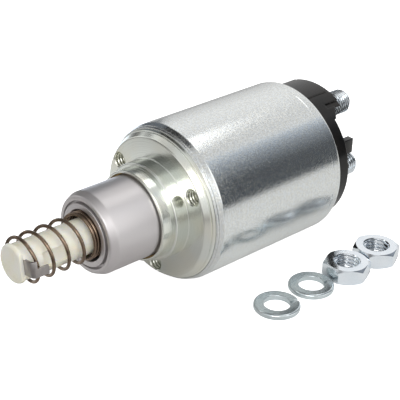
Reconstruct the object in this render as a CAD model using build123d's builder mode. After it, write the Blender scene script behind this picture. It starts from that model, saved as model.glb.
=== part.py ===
from build123d import *
import os
from math import cos, pi, radians, sin, sqrt, tan

# Starter solenoid lying on its side: an iron-clad coil that pulls a plunger and bridges two battery studs.
# Millimetres. The origin is on the coil axis in the plane of the front mounting face.
# +X runs along the axis to the terminals, the plunger stands out towards -X, +Z is up.
# The loose terminal nuts and spring washers lie on the same surface as the can.

# Clearances
press_gap = 0.03
running_gap = 0.06
seat_gap = 0.1

# Can
can_outer_r = 31.5
can_wall = 3.0
can_rear_x = 71.0
can_lip_wall = 1.5
can_lip_taper_depth = 1.2
can_lip_taper_length = 3.2
can_rear_wall = 1.9
can_rim_length = 2.0
can_rim_round = 1.5

# Front pole plate with its pilot boss
plate_seat_depth = 0.57
plate_bevel_length = 2.75
plate_bevel_depth = 1.65
plate_groove_width = 0.4
plate_groove_depth = 0.35
plate_land_length = 0.65
plate_thickness = 10.0
boss_step = 1.6
boss_length = 6.3
boss_chamfer = 0.6
collar_wall = 0.91
collar_length = 11.4
collar_chamfer = 0.5
mount_pcd = 48.5
mount_hole_count = 3
mount_hole_r = 3.3
mount_hole_floor = 1.5
mount_hole_angle = 28.5

# Guide sleeve
sleeve_wall = 0.7
sleeve_inset = 0.2
sleeve_mouth_chamfer = 0.45
sleeve_end_gap = 3.8

# Plunger
plunger_r = 16.2
plunger_front_x = -33.7
plunger_rear_x = 26.0
plunger_edge = 1.5
plunger_travel = 11.5
air_gap_left = 0.5
hub_proud = 0.5
hub_r = 12.5
rim_inner_r = 13.2
rim_groove_depth = 0.7
recess_r = 10.05
recess_depth = 10.2
web_thickness = 10.0
head_bore_r = 9.2
head_bore_length = 25.5
spring_bore_r = 10.6
push_disc_thickness = 2.0
push_disc_hole_r = 1.6

# Shift stem and its clip
stem_r = 7.0
stem_tip_x = -66.1
stem_tip_r = 7.5
stem_tip_thickness = 1.5
stem_tip_flat = 5.6
stem_tip_round = 0.6
stem_travel = 4.0
stem_head_gap = 0.4
stem_head_thickness = 3.8
stem_pocket_front_x = -57.0
stem_pocket_rear_x = -46.0
stem_pocket_depth = 1.6
stem_pocket_height = 6.0
stem_roll = -9.0
clip_thickness = 1.0
clip_height = 6.0
clip_spring_gap = 0.45
clip_tab_length = 6.8
clip_bend_r = 0.6

# Engagement spring between the clip and the plunger
engage_wire_r = 0.7
engage_gap = 0.3
engage_turns = 7.0

# Plunger return spring
return_wire_r = 0.75
return_gap = 0.4
return_turns = 6.0
core_spring_pocket = 6.0

# Fixed core, its plate and the bush for the contact rod
core_plate_setback = 11.2
core_plate_thickness = 6.0
core_neck_r = 11.0
bush_wall = 1.15
bush_flange_r = 6.5
bush_flange_thickness = 0.9

# Coil
bobbin_wall = 1.2
bobbin_flange = 2.0
pull_in_share = 0.51
wrap_thickness = 0.5
wrap_gap = 0.45

# Contact rod, bridge and springs
rod_r = 3.0
rod_tail_length = 2.97
rod_travel = 3.0
rod_washer_r = 7.0
rod_washer_thickness = 1.0
rod_washer_gap = 0.5
contact_gap = 2.4
contact_final_gap = 0.15
bridge_r = 17.5
bridge_thickness = 2.5
insulator_wall = 1.1
insulator_flange_r = 7.0
insulator_flange_thickness = 1.0
insulator_ring_thickness = 0.6
rod_clip_r = 5.6
rod_clip_thickness = 0.8
rod_clip_groove = 0.5
contact_wire_r = 0.5
contact_spring_r = 6.2
contact_spring_turns = 3.0
rod_spring_wire_r = 0.4
rod_spring_outer_r = 5.4
rod_spring_turns = 5.0

# Switch cap
cap_step = 2.5
cap_height = 7.3
cap_skirt_wall = 2.4
cap_roof = 3.0
seal_thickness = 1.0
seal_width = 2.4
dome_r = 9.5
dome_wall = 2.5
shroud_height = 7.7
shroud_wall = 1.8
shroud_first_angle = 70.0
shroud_edge_angle = 106.4
shroud_last_angle = 117.0
notch_depth = 0.9
land_proud = 0.35
land_front_reach = 5.7
land_height = 5.9
cheek_first_angle = 121.0
cheek_last_angle = 132.0
cheek_height = 3.2
tower_r = 6.9
tower_height = 5.2
barrier_inset = 4.2
barrier_length = 3.0
barrier_centre_z = 10.05
barrier_width = 6.4
barrier_height = 5.7

# Terminals
stud_r = 5.0
stud_shank_r = 5.3
stud_height = 18.7
stud_end_chamfer = 1.0
battery_stud_angle = 107.3
battery_washer_gap = 0.16
motor_stud_y = -12.8
motor_stud_z = -6.1
contact_bar_thickness = 3.6
contact_bar_width = 12.5
contact_bar_inner_r = 12.5
contact_bar_gap = 1.0
stud_seal_width = 1.6
stud_seal_thickness = 1.4
stud_washer_r = 6.2
stud_washer_thickness = 1.2
blade_angle = -25.0
blade_radius = 20.0
blade_width = 6.3
blade_thickness = 0.8
blade_height = 9.7
blade_foot_width = 10.0
blade_foot_depth = 5.0
blade_foot_height = 2.2
blade_inner_reach = 1.2

# Loose terminal nuts and spring washers
nut_across_flats = 17.0
nut_height = 6.5
nut_bore_r = 4.3
nut_chamfer = 0.9
washer_outer_r = 9.05
washer_inner_r = 5.15
washer_thickness = 2.2
washer_split = 1.6
washer_split_lean = 25.0
nut_places = {"terminal_nut_1": (78.9, -46.2, 25.0), "terminal_nut_2": (60.4, -46.9, 22.4)}
washer_places = {"spring_washer_1": (22.0, -46.2, -28.0), "spring_washer_2": (42.4, -44.8, -28.0)}

# Sizes that follow from the ones above
floor_z = -can_outer_r
can_bore_r = can_outer_r - can_wall
plate_r = can_outer_r - can_lip_wall - press_gap
plate_shoulder_r = plate_r - plate_seat_depth
plate_face_r = plate_shoulder_r - plate_bevel_depth
plate_groove_rear_x = plate_bevel_length + plate_groove_width
can_lip_front_x = plate_groove_rear_x + plate_land_length
can_seat_r = can_outer_r - can_rear_wall
cap_flange_r = can_seat_r - seat_gap
cap_body_r = can_outer_r - cap_step
rim_bore_r = cap_body_r + press_gap
rim_front_x = can_rear_x - can_rim_length
sleeve_inner_r = plunger_r + running_gap
sleeve_outer_r = sleeve_inner_r + sleeve_wall
plate_bore_r = sleeve_outer_r + press_gap
collar_r = plate_bore_r + collar_wall
boss_r = collar_r + boss_step
core_face_x = plunger_rear_x + plunger_travel + air_gap_left
core_plate_rear_x = can_rear_x - core_plate_setback
core_plate_front_x = core_plate_rear_x - core_plate_thickness
sleeve_end_x = core_plate_front_x - sleeve_end_gap
core_plate_r = can_seat_r - press_gap
recess_floor_x = plunger_front_x + recess_depth
web_rear_x = recess_floor_x + web_thickness
spring_bore_front_x = web_rear_x + head_bore_length
push_disc_rear_x = spring_bore_front_x + push_disc_thickness
stem_bore_r = stem_r + running_gap
stem_head_r = head_bore_r - stem_head_gap
engage_outer_r = recess_r - engage_gap
return_outer_r = spring_bore_r - return_gap
clip_front_x = stem_tip_x + stem_tip_thickness + press_gap
clip_rear_x = clip_front_x + clip_thickness
clip_half_length = engage_outer_r + clip_spring_gap + clip_thickness
bobbin_inner_r = sleeve_outer_r + seat_gap
bobbin_outer_r = bobbin_inner_r + bobbin_wall
bobbin_flange_r = can_bore_r - seat_gap
bobbin_front_x = plate_thickness + seat_gap
bobbin_rear_x = core_plate_front_x - seat_gap
winding_front_x = bobbin_front_x + bobbin_flange + press_gap
winding_rear_x = bobbin_rear_x - bobbin_flange - press_gap
wrap_outer_r = can_bore_r - wrap_gap
wrap_inner_r = wrap_outer_r - wrap_thickness
hold_in_outer_r = wrap_inner_r - press_gap
pull_in_inner_r = bobbin_outer_r + press_gap
pull_in_outer_r = pull_in_inner_r + pull_in_share * (hold_in_outer_r - press_gap - pull_in_inner_r)
hold_in_inner_r = pull_in_outer_r + press_gap
bush_inner_r = rod_r + running_gap
bush_outer_r = bush_inner_r + bush_wall
core_bore_r = bush_outer_r + press_gap
seal_front_x = core_plate_rear_x
cap_front_x = seal_front_x + seal_thickness
cap_inner_r = cap_body_r - cap_skirt_wall
cap_rear_x = can_rear_x + cap_height
ceiling_x = cap_rear_x - cap_roof
bar_front_x = ceiling_x - contact_bar_thickness
bridge_rear_x = bar_front_x - contact_gap
bridge_front_x = bridge_rear_x - bridge_thickness
bridge_slip = rod_travel - (contact_gap - contact_final_gap)
insulator_front_x = bridge_front_x - insulator_flange_thickness
insulator_bore_r = rod_r + running_gap
insulator_sleeve_r = insulator_bore_r + insulator_wall
bridge_hole_r = insulator_sleeve_r + press_gap
rod_washer_front_x = core_plate_rear_x + rod_washer_gap
rod_washer_rear_x = rod_washer_front_x + rod_washer_thickness
rod_clip_front_x = bridge_rear_x + insulator_ring_thickness + seat_gap
rod_front_x = push_disc_rear_x + plunger_travel - rod_travel + seat_gap
tower_rear_x = cap_rear_x + tower_height
dome_ceiling_x = tower_rear_x - dome_wall
land_r = cap_body_r + land_proud
shroud_inner_r = cap_body_r - shroud_wall
barrier_middle_y = barrier_inset - cap_body_r + barrier_length / 2
stud_seat_x = tower_rear_x + stud_washer_thickness
stud_end_x = cap_rear_x + stud_height
battery_stud_reach = shroud_inner_r - battery_washer_gap - stud_washer_r
battery_stud_y = battery_stud_reach * cos(radians(battery_stud_angle))
battery_stud_z = battery_stud_reach * sin(radians(battery_stud_angle))
contact_bar_outer_r = cap_inner_r - contact_bar_gap


def outline(corners):
    """A closed outline in the XZ plane from (x, radius) corners, ready to be turned about X."""
    with BuildSketch(Plane.XZ) as drawn:
        with BuildLine():
            Polyline(*corners, close=True)
        make_face()
    return drawn.sketch


def tube_outline(front_x, rear_x, inner_r, outer_r):
    """The outline of a plain tube between two stations on the X axis."""
    return outline([(front_x, inner_r), (rear_x, inner_r), (rear_x, outer_r), (front_x, outer_r)])


def coil(front_x, rear_x, outer_r, wire_r, turns):
    """A round-wire compression spring about X whose wire stays between the two stations."""
    mean_r = outer_r - wire_r
    length = rear_x - front_x - 2 * wire_r
    path = Helix(pitch=length / turns, height=length, radius=mean_r)
    path = Plane(origin=(front_x + wire_r, 0, 0), x_dir=(0, 0, 1), z_dir=(1, 0, 0)) * path
    with BuildPart() as wound:
        with BuildSketch(Plane(origin=path @ 0, z_dir=path % 0)):
            Circle(wire_r)
        sweep(path=path, is_frenet=True)
    return wound


def sector(first_angle, last_angle, reach):
    """A wedge of the YZ plane between two angles, measured from +Y towards +Z."""
    middle = (first_angle + last_angle) / 2
    with BuildSketch() as wedge:
        with BuildLine():
            Polyline(
                (0, 0),
                (reach * cos(radians(first_angle)), reach * sin(radians(first_angle))),
                (reach * cos(radians(middle)), reach * sin(radians(middle))),
                (reach * cos(radians(last_angle)), reach * sin(radians(last_angle))),
                close=True,
            )
        make_face()
    return wedge.sketch


def arc_wall(first_angle, last_angle, inner_r, outer_r):
    """A curved wall's section in the YZ plane between two angles and two radii."""
    with BuildSketch() as wall:
        Circle(outer_r)
        Circle(inner_r, mode=Mode.SUBTRACT)
        add(sector(first_angle, last_angle, 2 * outer_r), mode=Mode.INTERSECT)
    return wall.sketch


def across(x):
    """The plane across the axis at x, whose own X and Y run along +Y and +Z."""
    return Plane(origin=(x, 0, 0), x_dir=(0, 1, 0), z_dir=(1, 0, 0))


def write(built, name):
    """Labels a finished piece and writes its file."""
    built.part.label = name
    export_step(built.part, f"parts/{name}.step")


os.makedirs("parts", exist_ok=True)

# Can: drawn steel shell, rolled over the pole plate in front and over the cap's flange behind
with BuildPart() as can:
    revolve(
        outline(
            [
                (can_lip_front_x, can_outer_r - can_lip_wall),
                (can_lip_front_x, can_outer_r - can_lip_taper_depth),
                (can_lip_front_x + can_lip_taper_length, can_outer_r),
                (can_rear_x, can_outer_r),
                (can_rear_x, rim_bore_r),
                (rim_front_x, rim_bore_r),
                (rim_front_x, can_seat_r),
                (core_plate_front_x, can_seat_r),
                (core_plate_front_x, can_bore_r),
                (plate_thickness, can_bore_r),
                (plate_thickness, can_outer_r - can_lip_wall),
            ]
        ),
        axis=Axis.X,
    )
    fillet(can.edges().filter_by(GeomType.CIRCLE).group_by(Axis.X)[-1].sort_by(SortBy.RADIUS)[-1], radius=can_rim_round)
write(can, "can")

# Front plate: pole plate with the mounting face, the pilot boss and the collar round the plunger
with BuildPart() as front_plate:
    revolve(
        outline(
            [
                (-collar_length, plate_bore_r),
                (-collar_length, collar_r - collar_chamfer),
                (-collar_length + collar_chamfer, collar_r),
                (-boss_length, collar_r),
                (-boss_length, boss_r - boss_chamfer),
                (-boss_length + boss_chamfer, boss_r),
                (0, boss_r),
                (0, plate_face_r),
                (plate_bevel_length, plate_shoulder_r),
                (plate_bevel_length + plate_groove_width / 2, plate_shoulder_r - plate_groove_depth),
                (plate_groove_rear_x, plate_shoulder_r),
                (can_lip_front_x, plate_r),
                (plate_thickness, plate_r),
                (plate_thickness, plate_bore_r),
            ]
        ),
        axis=Axis.X,
    )
    with Locations(Plane(origin=(0, 0, 0), x_dir=(0, 1, 0), z_dir=(-1, 0, 0))):
        with PolarLocations(mount_pcd / 2, mount_hole_count, start_angle=-mount_hole_angle):
            Hole(mount_hole_r, depth=plate_thickness - mount_hole_floor)
write(front_plate, "front_plate")

# Guide sleeve: thin brass tube that the plunger runs in, through the plate and the coil to the core
with BuildPart() as guide_sleeve:
    sleeve_front_x = sleeve_inset - collar_length
    revolve(
        outline(
            [
                (sleeve_front_x, sleeve_inner_r + sleeve_mouth_chamfer),
                (sleeve_front_x, sleeve_outer_r),
                (sleeve_end_x, sleeve_outer_r),
                (sleeve_end_x, sleeve_inner_r),
                (sleeve_front_x + sleeve_mouth_chamfer, sleeve_inner_r),
            ]
        ),
        axis=Axis.X,
    )
write(guide_sleeve, "guide_sleeve")

# Coil bobbin: moulded spool on the sleeve
with BuildPart() as coil_bobbin:
    revolve(
        outline(
            [
                (bobbin_front_x, bobbin_inner_r),
                (bobbin_front_x, bobbin_flange_r),
                (bobbin_front_x + bobbin_flange, bobbin_flange_r),
                (bobbin_front_x + bobbin_flange, bobbin_outer_r),
                (bobbin_rear_x - bobbin_flange, bobbin_outer_r),
                (bobbin_rear_x - bobbin_flange, bobbin_flange_r),
                (bobbin_rear_x, bobbin_flange_r),
                (bobbin_rear_x, bobbin_inner_r),
            ]
        ),
        axis=Axis.X,
    )
write(coil_bobbin, "coil_bobbin")

# Windings: the heavy pull-in winding inside, the fine hold-in winding over it, and their paper wrap
with BuildPart() as pull_in_winding:
    revolve(tube_outline(winding_front_x, winding_rear_x, pull_in_inner_r, pull_in_outer_r), axis=Axis.X)
write(pull_in_winding, "pull_in_winding")

with BuildPart() as hold_in_winding:
    revolve(tube_outline(winding_front_x, winding_rear_x, hold_in_inner_r, hold_in_outer_r), axis=Axis.X)
write(hold_in_winding, "hold_in_winding")

with BuildPart() as coil_wrap:
    revolve(tube_outline(winding_front_x, winding_rear_x, wrap_inner_r, wrap_outer_r), axis=Axis.X)
write(coil_wrap, "coil_wrap")

# Fixed core: the iron that the plunger is pulled against, with a pocket for the return spring
with BuildPart() as fixed_core:
    pocket_floor_x = core_face_x + core_spring_pocket
    revolve(
        outline(
            [
                (core_face_x, spring_bore_r),
                (core_face_x, plunger_r),
                (core_plate_front_x, plunger_r),
                (core_plate_front_x, core_neck_r),
                (core_plate_rear_x, core_neck_r),
                (core_plate_rear_x, core_bore_r),
                (pocket_floor_x, core_bore_r),
                (pocket_floor_x, spring_bore_r),
            ]
        ),
        axis=Axis.X,
    )
write(fixed_core, "fixed_core")

# Core plate: iron disc that carries the core and closes the magnetic circuit into the can
with BuildPart() as core_plate:
    revolve(
        tube_outline(core_plate_front_x, core_plate_rear_x, core_neck_r + press_gap, core_plate_r),
        axis=Axis.X,
    )
write(core_plate, "core_plate")

# Rod bush: flanged brass bush in the core for the contact rod
with BuildPart() as rod_bush:
    flange_x = pocket_floor_x - bush_flange_thickness
    revolve(
        outline(
            [
                (flange_x, bush_inner_r),
                (flange_x, bush_flange_r),
                (pocket_floor_x, bush_flange_r),
                (pocket_floor_x, bush_outer_r),
                (core_plate_rear_x, bush_outer_r),
                (core_plate_rear_x, bush_inner_r),
            ]
        ),
        axis=Axis.X,
    )
write(rod_bush, "rod_bush")

# Cap seal: flat rubber ring between the core plate and the cap
with BuildPart() as cap_seal:
    revolve(tube_outline(seal_front_x, cap_front_x, cap_flange_r - seal_width, cap_flange_r), axis=Axis.X)
write(cap_seal, "cap_seal")

# Switch cap: moulded cover of the contact chamber, with the walls that part the terminals
with BuildPart() as switch_cap:
    revolve(
        outline(
            [
                (cap_front_x, cap_inner_r),
                (cap_front_x, cap_flange_r),
                (rim_front_x - press_gap, cap_flange_r),
                (rim_front_x - press_gap, cap_body_r),
                (cap_rear_x, cap_body_r),
                (cap_rear_x, 0),
                (ceiling_x, 0),
                (ceiling_x, cap_inner_r),
            ]
        ),
        axis=Axis.X,
    )
    with BuildSketch(across(cap_rear_x)):
        Circle(dome_r)
    extrude(amount=tower_height)
    with BuildSketch(across(cap_rear_x)):
        with Locations((battery_stud_y, battery_stud_z), (motor_stud_y, motor_stud_z)):
            Circle(tower_r)
    extrude(amount=tower_height)
    with BuildSketch(across(cap_rear_x - land_front_reach)):
        add(arc_wall(shroud_first_angle, shroud_edge_angle, shroud_inner_r, land_r))
    extrude(amount=land_front_reach + land_height)
    with BuildSketch(across(cap_rear_x)):
        add(arc_wall(shroud_first_angle, shroud_last_angle, shroud_inner_r, cap_body_r))
    extrude(amount=shroud_height)
    with BuildSketch(across(cap_rear_x)):
        add(arc_wall(shroud_last_angle, cheek_first_angle, shroud_inner_r, cap_body_r - notch_depth))
    extrude(amount=shroud_height)
    with BuildSketch(across(cap_rear_x)):
        add(arc_wall(cheek_first_angle, cheek_last_angle, shroud_inner_r, cap_body_r))
    extrude(amount=cheek_height)
    with BuildSketch(across(cap_rear_x)):
        with Locations((barrier_middle_y, barrier_centre_z)):
            Rectangle(barrier_length, barrier_width)
    extrude(amount=barrier_height)
    with BuildSketch(across(cap_rear_x)):
        with Locations(Location((0, 0, 0), (0, 0, blade_angle))):
            with Locations((blade_radius, 0)):
                Rectangle(blade_foot_depth, blade_foot_width)
    extrude(amount=blade_foot_height)
    with BuildSketch(across(ceiling_x)):
        Circle(dome_r - dome_wall)
    extrude(amount=dome_ceiling_x - ceiling_x, mode=Mode.SUBTRACT)
    with BuildSketch(across(ceiling_x)):
        with Locations((battery_stud_y, battery_stud_z), (motor_stud_y, motor_stud_z)):
            Circle(stud_shank_r + press_gap)
    extrude(amount=cap_roof + shroud_height, mode=Mode.SUBTRACT)
    with BuildSketch(across(ceiling_x)):
        with Locations((battery_stud_y, battery_stud_z), (motor_stud_y, motor_stud_z)):
            Circle(stud_shank_r + stud_seal_width + press_gap)
    extrude(amount=stud_seal_thickness, mode=Mode.SUBTRACT)
    with BuildSketch(across(ceiling_x)):
        with Locations(Location((0, 0, 0), (0, 0, blade_angle))):
            with Locations((blade_radius, 0)):
                Rectangle(blade_thickness + 2 * press_gap, blade_width + 2 * press_gap)
    extrude(amount=cap_roof + blade_foot_height, mode=Mode.SUBTRACT)
write(switch_cap, "switch_cap")


def terminal_bolt(stud_y, stud_z):
    """A threaded terminal stud on the copper contact bar that the bridge closes against."""
    turn = Plane(origin=(bar_front_x, 0, 0), x_dir=(0, stud_y, stud_z), z_dir=(1, 0, 0))
    with BuildPart() as bolt:
        with BuildSketch(turn):
            with Locations(((contact_bar_inner_r + contact_bar_outer_r) / 2, 0)):
                Rectangle(contact_bar_outer_r - contact_bar_inner_r, contact_bar_width)
        extrude(amount=contact_bar_thickness)
        fillet(bolt.edges().filter_by(Axis.X), radius=contact_bar_thickness / 2)
        with BuildSketch(across(ceiling_x)):
            with Locations((stud_y, stud_z)):
                Circle(stud_shank_r)
        extrude(amount=stud_seat_x - ceiling_x)
        with BuildSketch(across(stud_seat_x)):
            with Locations((stud_y, stud_z)):
                Circle(stud_r)
        extrude(amount=stud_end_x - stud_seat_x)
        chamfer(bolt.edges().group_by(Axis.X)[-1], length=stud_end_chamfer)
    return bolt


# Terminal bolts: battery stud above, motor stud below
battery_terminal = terminal_bolt(battery_stud_y, battery_stud_z)
write(battery_terminal, "battery_terminal")
motor_terminal = terminal_bolt(motor_stud_y, motor_stud_z)
write(motor_terminal, "motor_terminal")

# Stud seals: rubber rings round the studs inside the cap
with BuildPart() as stud_seals:
    with BuildSketch(across(ceiling_x)):
        with Locations((battery_stud_y, battery_stud_z), (motor_stud_y, motor_stud_z)):
            Circle(stud_shank_r + stud_seal_width)
            Circle(stud_shank_r + press_gap, mode=Mode.SUBTRACT)
    extrude(amount=stud_seal_thickness)
write(stud_seals, "stud_seals")

# Stud washers: plated seats for the cable lugs on the cap's towers
with BuildPart() as stud_washers:
    with BuildSketch(across(tower_rear_x)):
        with Locations((battery_stud_y, battery_stud_z), (motor_stud_y, motor_stud_z)):
            Circle(stud_washer_r)
            Circle(stud_shank_r + press_gap, mode=Mode.SUBTRACT)
    extrude(amount=stud_washer_thickness)
write(stud_washers, "stud_washers")

# Control terminal: flat blade of the winding's switched feed
with BuildPart() as control_terminal:
    with BuildSketch(across(ceiling_x - blade_inner_reach)):
        with Locations(Location((0, 0, 0), (0, 0, blade_angle))):
            with Locations((blade_radius, 0)):
                Rectangle(blade_thickness, blade_width)
    extrude(amount=blade_inner_reach + cap_roof + blade_height)
write(control_terminal, "control_terminal")

# Plunger: iron core that is pulled in, hollow at both ends with a web between
with BuildPart() as plunger:
    hub_x = plunger_front_x - hub_proud
    revolve(
        outline(
            [
                (recess_floor_x, stem_bore_r),
                (recess_floor_x, recess_r),
                (hub_x, recess_r),
                (hub_x, hub_r),
                (plunger_front_x + rim_groove_depth, hub_r),
                (plunger_front_x + rim_groove_depth, rim_inner_r),
                (plunger_front_x, rim_inner_r),
                (plunger_front_x, plunger_r - plunger_edge),
                (plunger_front_x + plunger_edge, plunger_r),
                (plunger_rear_x, plunger_r),
                (plunger_rear_x, spring_bore_r),
                (spring_bore_front_x, spring_bore_r),
                (spring_bore_front_x, head_bore_r),
                (web_rear_x, head_bore_r),
                (web_rear_x, stem_bore_r),
            ]
        ),
        axis=Axis.X,
    )
write(plunger, "plunger")

# Push disc: pressed into the plunger against its shoulder, it seats the return spring and pushes the contact rod
with BuildPart() as push_disc:
    revolve(
        tube_outline(spring_bore_front_x, push_disc_rear_x, push_disc_hole_r, spring_bore_r - press_gap),
        axis=Axis.X,
    )
write(push_disc, "push_disc")

# Shift stem: moulded pin through the plunger's web, with a tip disc flatted on the pocket side
stem_frame = Plane(origin=(0, 0, 0), x_dir=(1, 0, 0), z_dir=(0, -sin(radians(stem_roll)), cos(radians(stem_roll))))
with BuildPart() as stem:
    with BuildSketch(across(stem_tip_x)):
        Circle(stem_tip_r)
    extrude(amount=stem_tip_thickness)
    chamfer(stem.edges().group_by(Axis.X)[0], length=stem_tip_round)
    with BuildSketch(across(stem_tip_x)):
        Circle(stem_r)
    extrude(amount=web_rear_x - stem_tip_x + seat_gap)
    with BuildSketch(across(web_rear_x + seat_gap)):
        Circle(stem_head_r)
    extrude(amount=stem_head_thickness)
    with BuildSketch(stem_frame):
        with Locations(((clip_front_x + clip_rear_x) / 2, 0)):
            Rectangle(clip_thickness + 2 * press_gap, 2 * stem_tip_r)
    extrude(amount=clip_height / 2 + press_gap, both=True, mode=Mode.SUBTRACT)
    with BuildSketch(stem_frame):
        with Locations((stem_tip_x + stem_tip_thickness / 2, -stem_tip_flat - stem_tip_r / 2)):
            Rectangle(stem_tip_thickness, stem_tip_r)
    extrude(amount=stem_tip_r, both=True, mode=Mode.SUBTRACT)
    with BuildSketch(stem_frame):
        pocket_length = stem_pocket_rear_x - stem_pocket_front_x
        with Locations((stem_pocket_front_x + pocket_length / 2, -stem_r)):
            Rectangle(pocket_length, 2 * stem_pocket_depth)
    extrude(amount=stem_pocket_height / 2, both=True, mode=Mode.SUBTRACT)
write(stem, "stem")

# Spring clip: steel strip through the stem's slot, its ends folded back over the spring
with BuildPart() as spring_clip:
    with BuildSketch(stem_frame):
        with BuildLine():
            FilletPolyline(
                (clip_front_x + clip_tab_length, -clip_half_length),
                (clip_front_x, -clip_half_length),
                (clip_front_x, clip_half_length),
                (clip_front_x + clip_tab_length, clip_half_length),
                radius=clip_bend_r + clip_thickness,
            )
            FilletPolyline(
                (clip_front_x + clip_tab_length, clip_half_length - clip_thickness),
                (clip_rear_x, clip_half_length - clip_thickness),
                (clip_rear_x, clip_thickness - clip_half_length),
                (clip_front_x + clip_tab_length, clip_thickness - clip_half_length),
                radius=clip_bend_r,
            )
            Line(
                (clip_front_x + clip_tab_length, -clip_half_length),
                (clip_front_x + clip_tab_length, clip_thickness - clip_half_length),
            )
            Line(
                (clip_front_x + clip_tab_length, clip_half_length),
                (clip_front_x + clip_tab_length, clip_half_length - clip_thickness),
            )
        make_face()
    extrude(amount=clip_height / 2, both=True)
write(spring_clip, "spring_clip")

# Springs, wound about the axis
engagement_spring = coil(clip_rear_x + seat_gap, recess_floor_x - seat_gap, engage_outer_r, engage_wire_r, engage_turns)
write(engagement_spring, "engagement_spring")
plunger_return_spring = coil(
    push_disc_rear_x + seat_gap, pocket_floor_x - seat_gap, return_outer_r, return_wire_r, return_turns
)
write(plunger_return_spring, "plunger_return_spring")
contact_spring = coil(
    rod_washer_rear_x + seat_gap,
    insulator_front_x - seat_gap,
    contact_spring_r,
    contact_wire_r,
    contact_spring_turns,
)
write(contact_spring, "contact_spring")
contact_return_spring = coil(
    rod_clip_front_x + rod_clip_thickness + seat_gap,
    dome_ceiling_x - seat_gap,
    rod_spring_outer_r,
    rod_spring_wire_r,
    rod_spring_turns,
)
write(contact_return_spring, "contact_return_spring")

# Contact rod: steel rod with the groove for its clip
with BuildPart() as contact_rod:
    groove_rear_x = rod_clip_front_x + rod_clip_thickness + press_gap
    revolve(
        outline(
            [
                (rod_front_x, 0),
                (rod_front_x, rod_r),
                (rod_clip_front_x - press_gap, rod_r),
                (rod_clip_front_x - press_gap, rod_r - rod_clip_groove),
                (groove_rear_x, rod_r - rod_clip_groove),
                (groove_rear_x, rod_r),
                (groove_rear_x + rod_tail_length, rod_r),
                (groove_rear_x + rod_tail_length, 0),
            ]
        ),
        axis=Axis.X,
    )
write(contact_rod, "contact_rod")

# Rod washer: pressed seat of the contact spring
with BuildPart() as rod_washer:
    revolve(tube_outline(rod_washer_front_x, rod_washer_rear_x, rod_r + press_gap, rod_washer_r), axis=Axis.X)
write(rod_washer, "rod_washer")

# Rod clip: open ring in the rod's groove behind the bridge
with BuildPart() as rod_clip:
    with BuildSketch(across(rod_clip_front_x)):
        Circle(rod_clip_r)
        Circle(rod_r - rod_clip_groove + press_gap, mode=Mode.SUBTRACT)
        with Locations((rod_clip_r / 2, 0)):
            Rectangle(rod_clip_r, rod_r, mode=Mode.SUBTRACT)
    extrude(amount=rod_clip_thickness)
write(rod_clip, "rod_clip")

# Contact bridge: copper disc that joins the two contact bars
with BuildPart() as contact_bridge:
    revolve(tube_outline(bridge_front_x, bridge_rear_x, bridge_hole_r, bridge_r), axis=Axis.X)
write(contact_bridge, "contact_bridge")

# Bridge insulators: flanged bush through the bridge and a flat ring behind it
with BuildPart() as bridge_insulator:
    revolve(
        outline(
            [
                (insulator_front_x, insulator_bore_r),
                (insulator_front_x, insulator_flange_r),
                (bridge_front_x, insulator_flange_r),
                (bridge_front_x, insulator_sleeve_r),
                (bridge_rear_x, insulator_sleeve_r),
                (bridge_rear_x, insulator_bore_r),
            ]
        ),
        axis=Axis.X,
    )
write(bridge_insulator, "bridge_insulator")

with BuildPart() as insulator_ring:
    ring_rear_x = bridge_rear_x + insulator_ring_thickness
    revolve(tube_outline(bridge_rear_x, ring_rear_x, insulator_bore_r, insulator_flange_r), axis=Axis.X)
write(insulator_ring, "insulator_ring")

# Loose terminal nuts: thin hexagon nuts lying flat beside the can
for name, (nut_x, nut_y, nut_turn) in nut_places.items():
    with BuildPart() as nut:
        with BuildSketch(Plane(origin=(nut_x, nut_y, floor_z))):
            RegularPolygon(nut_across_flats / 2, 6, major_radius=False, rotation=nut_turn)
        extrude(amount=nut_height)
        corner_r = nut_across_flats / sqrt(3)
        with BuildSketch(Plane(origin=(nut_x, nut_y, floor_z), x_dir=(1, 0, 0), z_dir=(0, -1, 0))):
            with BuildLine():
                Polyline(
                    (0, 0),
                    (corner_r - nut_chamfer, 0),
                    (corner_r, nut_chamfer * tan(pi / 6)),
                    (corner_r, nut_height - nut_chamfer * tan(pi / 6)),
                    (corner_r - nut_chamfer, nut_height),
                    (0, nut_height),
                    close=True,
                )
            make_face()
        revolve(axis=Axis((nut_x, nut_y, floor_z), (0, 0, 1)), mode=Mode.INTERSECT)
        with Locations(Plane(origin=(nut_x, nut_y, floor_z + nut_height))):
            Hole(nut_bore_r)
    write(nut, name)

# Loose spring washers: split rings lying flat beside the can
for name, (washer_x, washer_y, split_angle) in washer_places.items():
    with BuildPart() as washer:
        with BuildSketch(Plane(origin=(washer_x, washer_y, floor_z))):
            Circle(washer_outer_r)
            Circle(washer_inner_r, mode=Mode.SUBTRACT)
        extrude(amount=washer_thickness)
        with BuildSketch(Plane(origin=(washer_x, washer_y, floor_z))):
            with Locations(Location((0, 0, 0), (0, 0, split_angle))):
                with Locations(Location((washer_outer_r, 0, 0), (0, 0, washer_split_lean))):
                    Rectangle(2 * washer_outer_r - washer_inner_r, washer_split)
        extrude(amount=washer_thickness, mode=Mode.SUBTRACT)
    write(washer, name)
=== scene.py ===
import logging
import math
from collections.abc import Iterable, Mapping, Sequence
from dataclasses import dataclass, field
from enum import Enum
from typing import Any

import bmesh
import bpy
import numpy as np
from mathutils import Matrix, Quaternion, Vector


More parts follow.
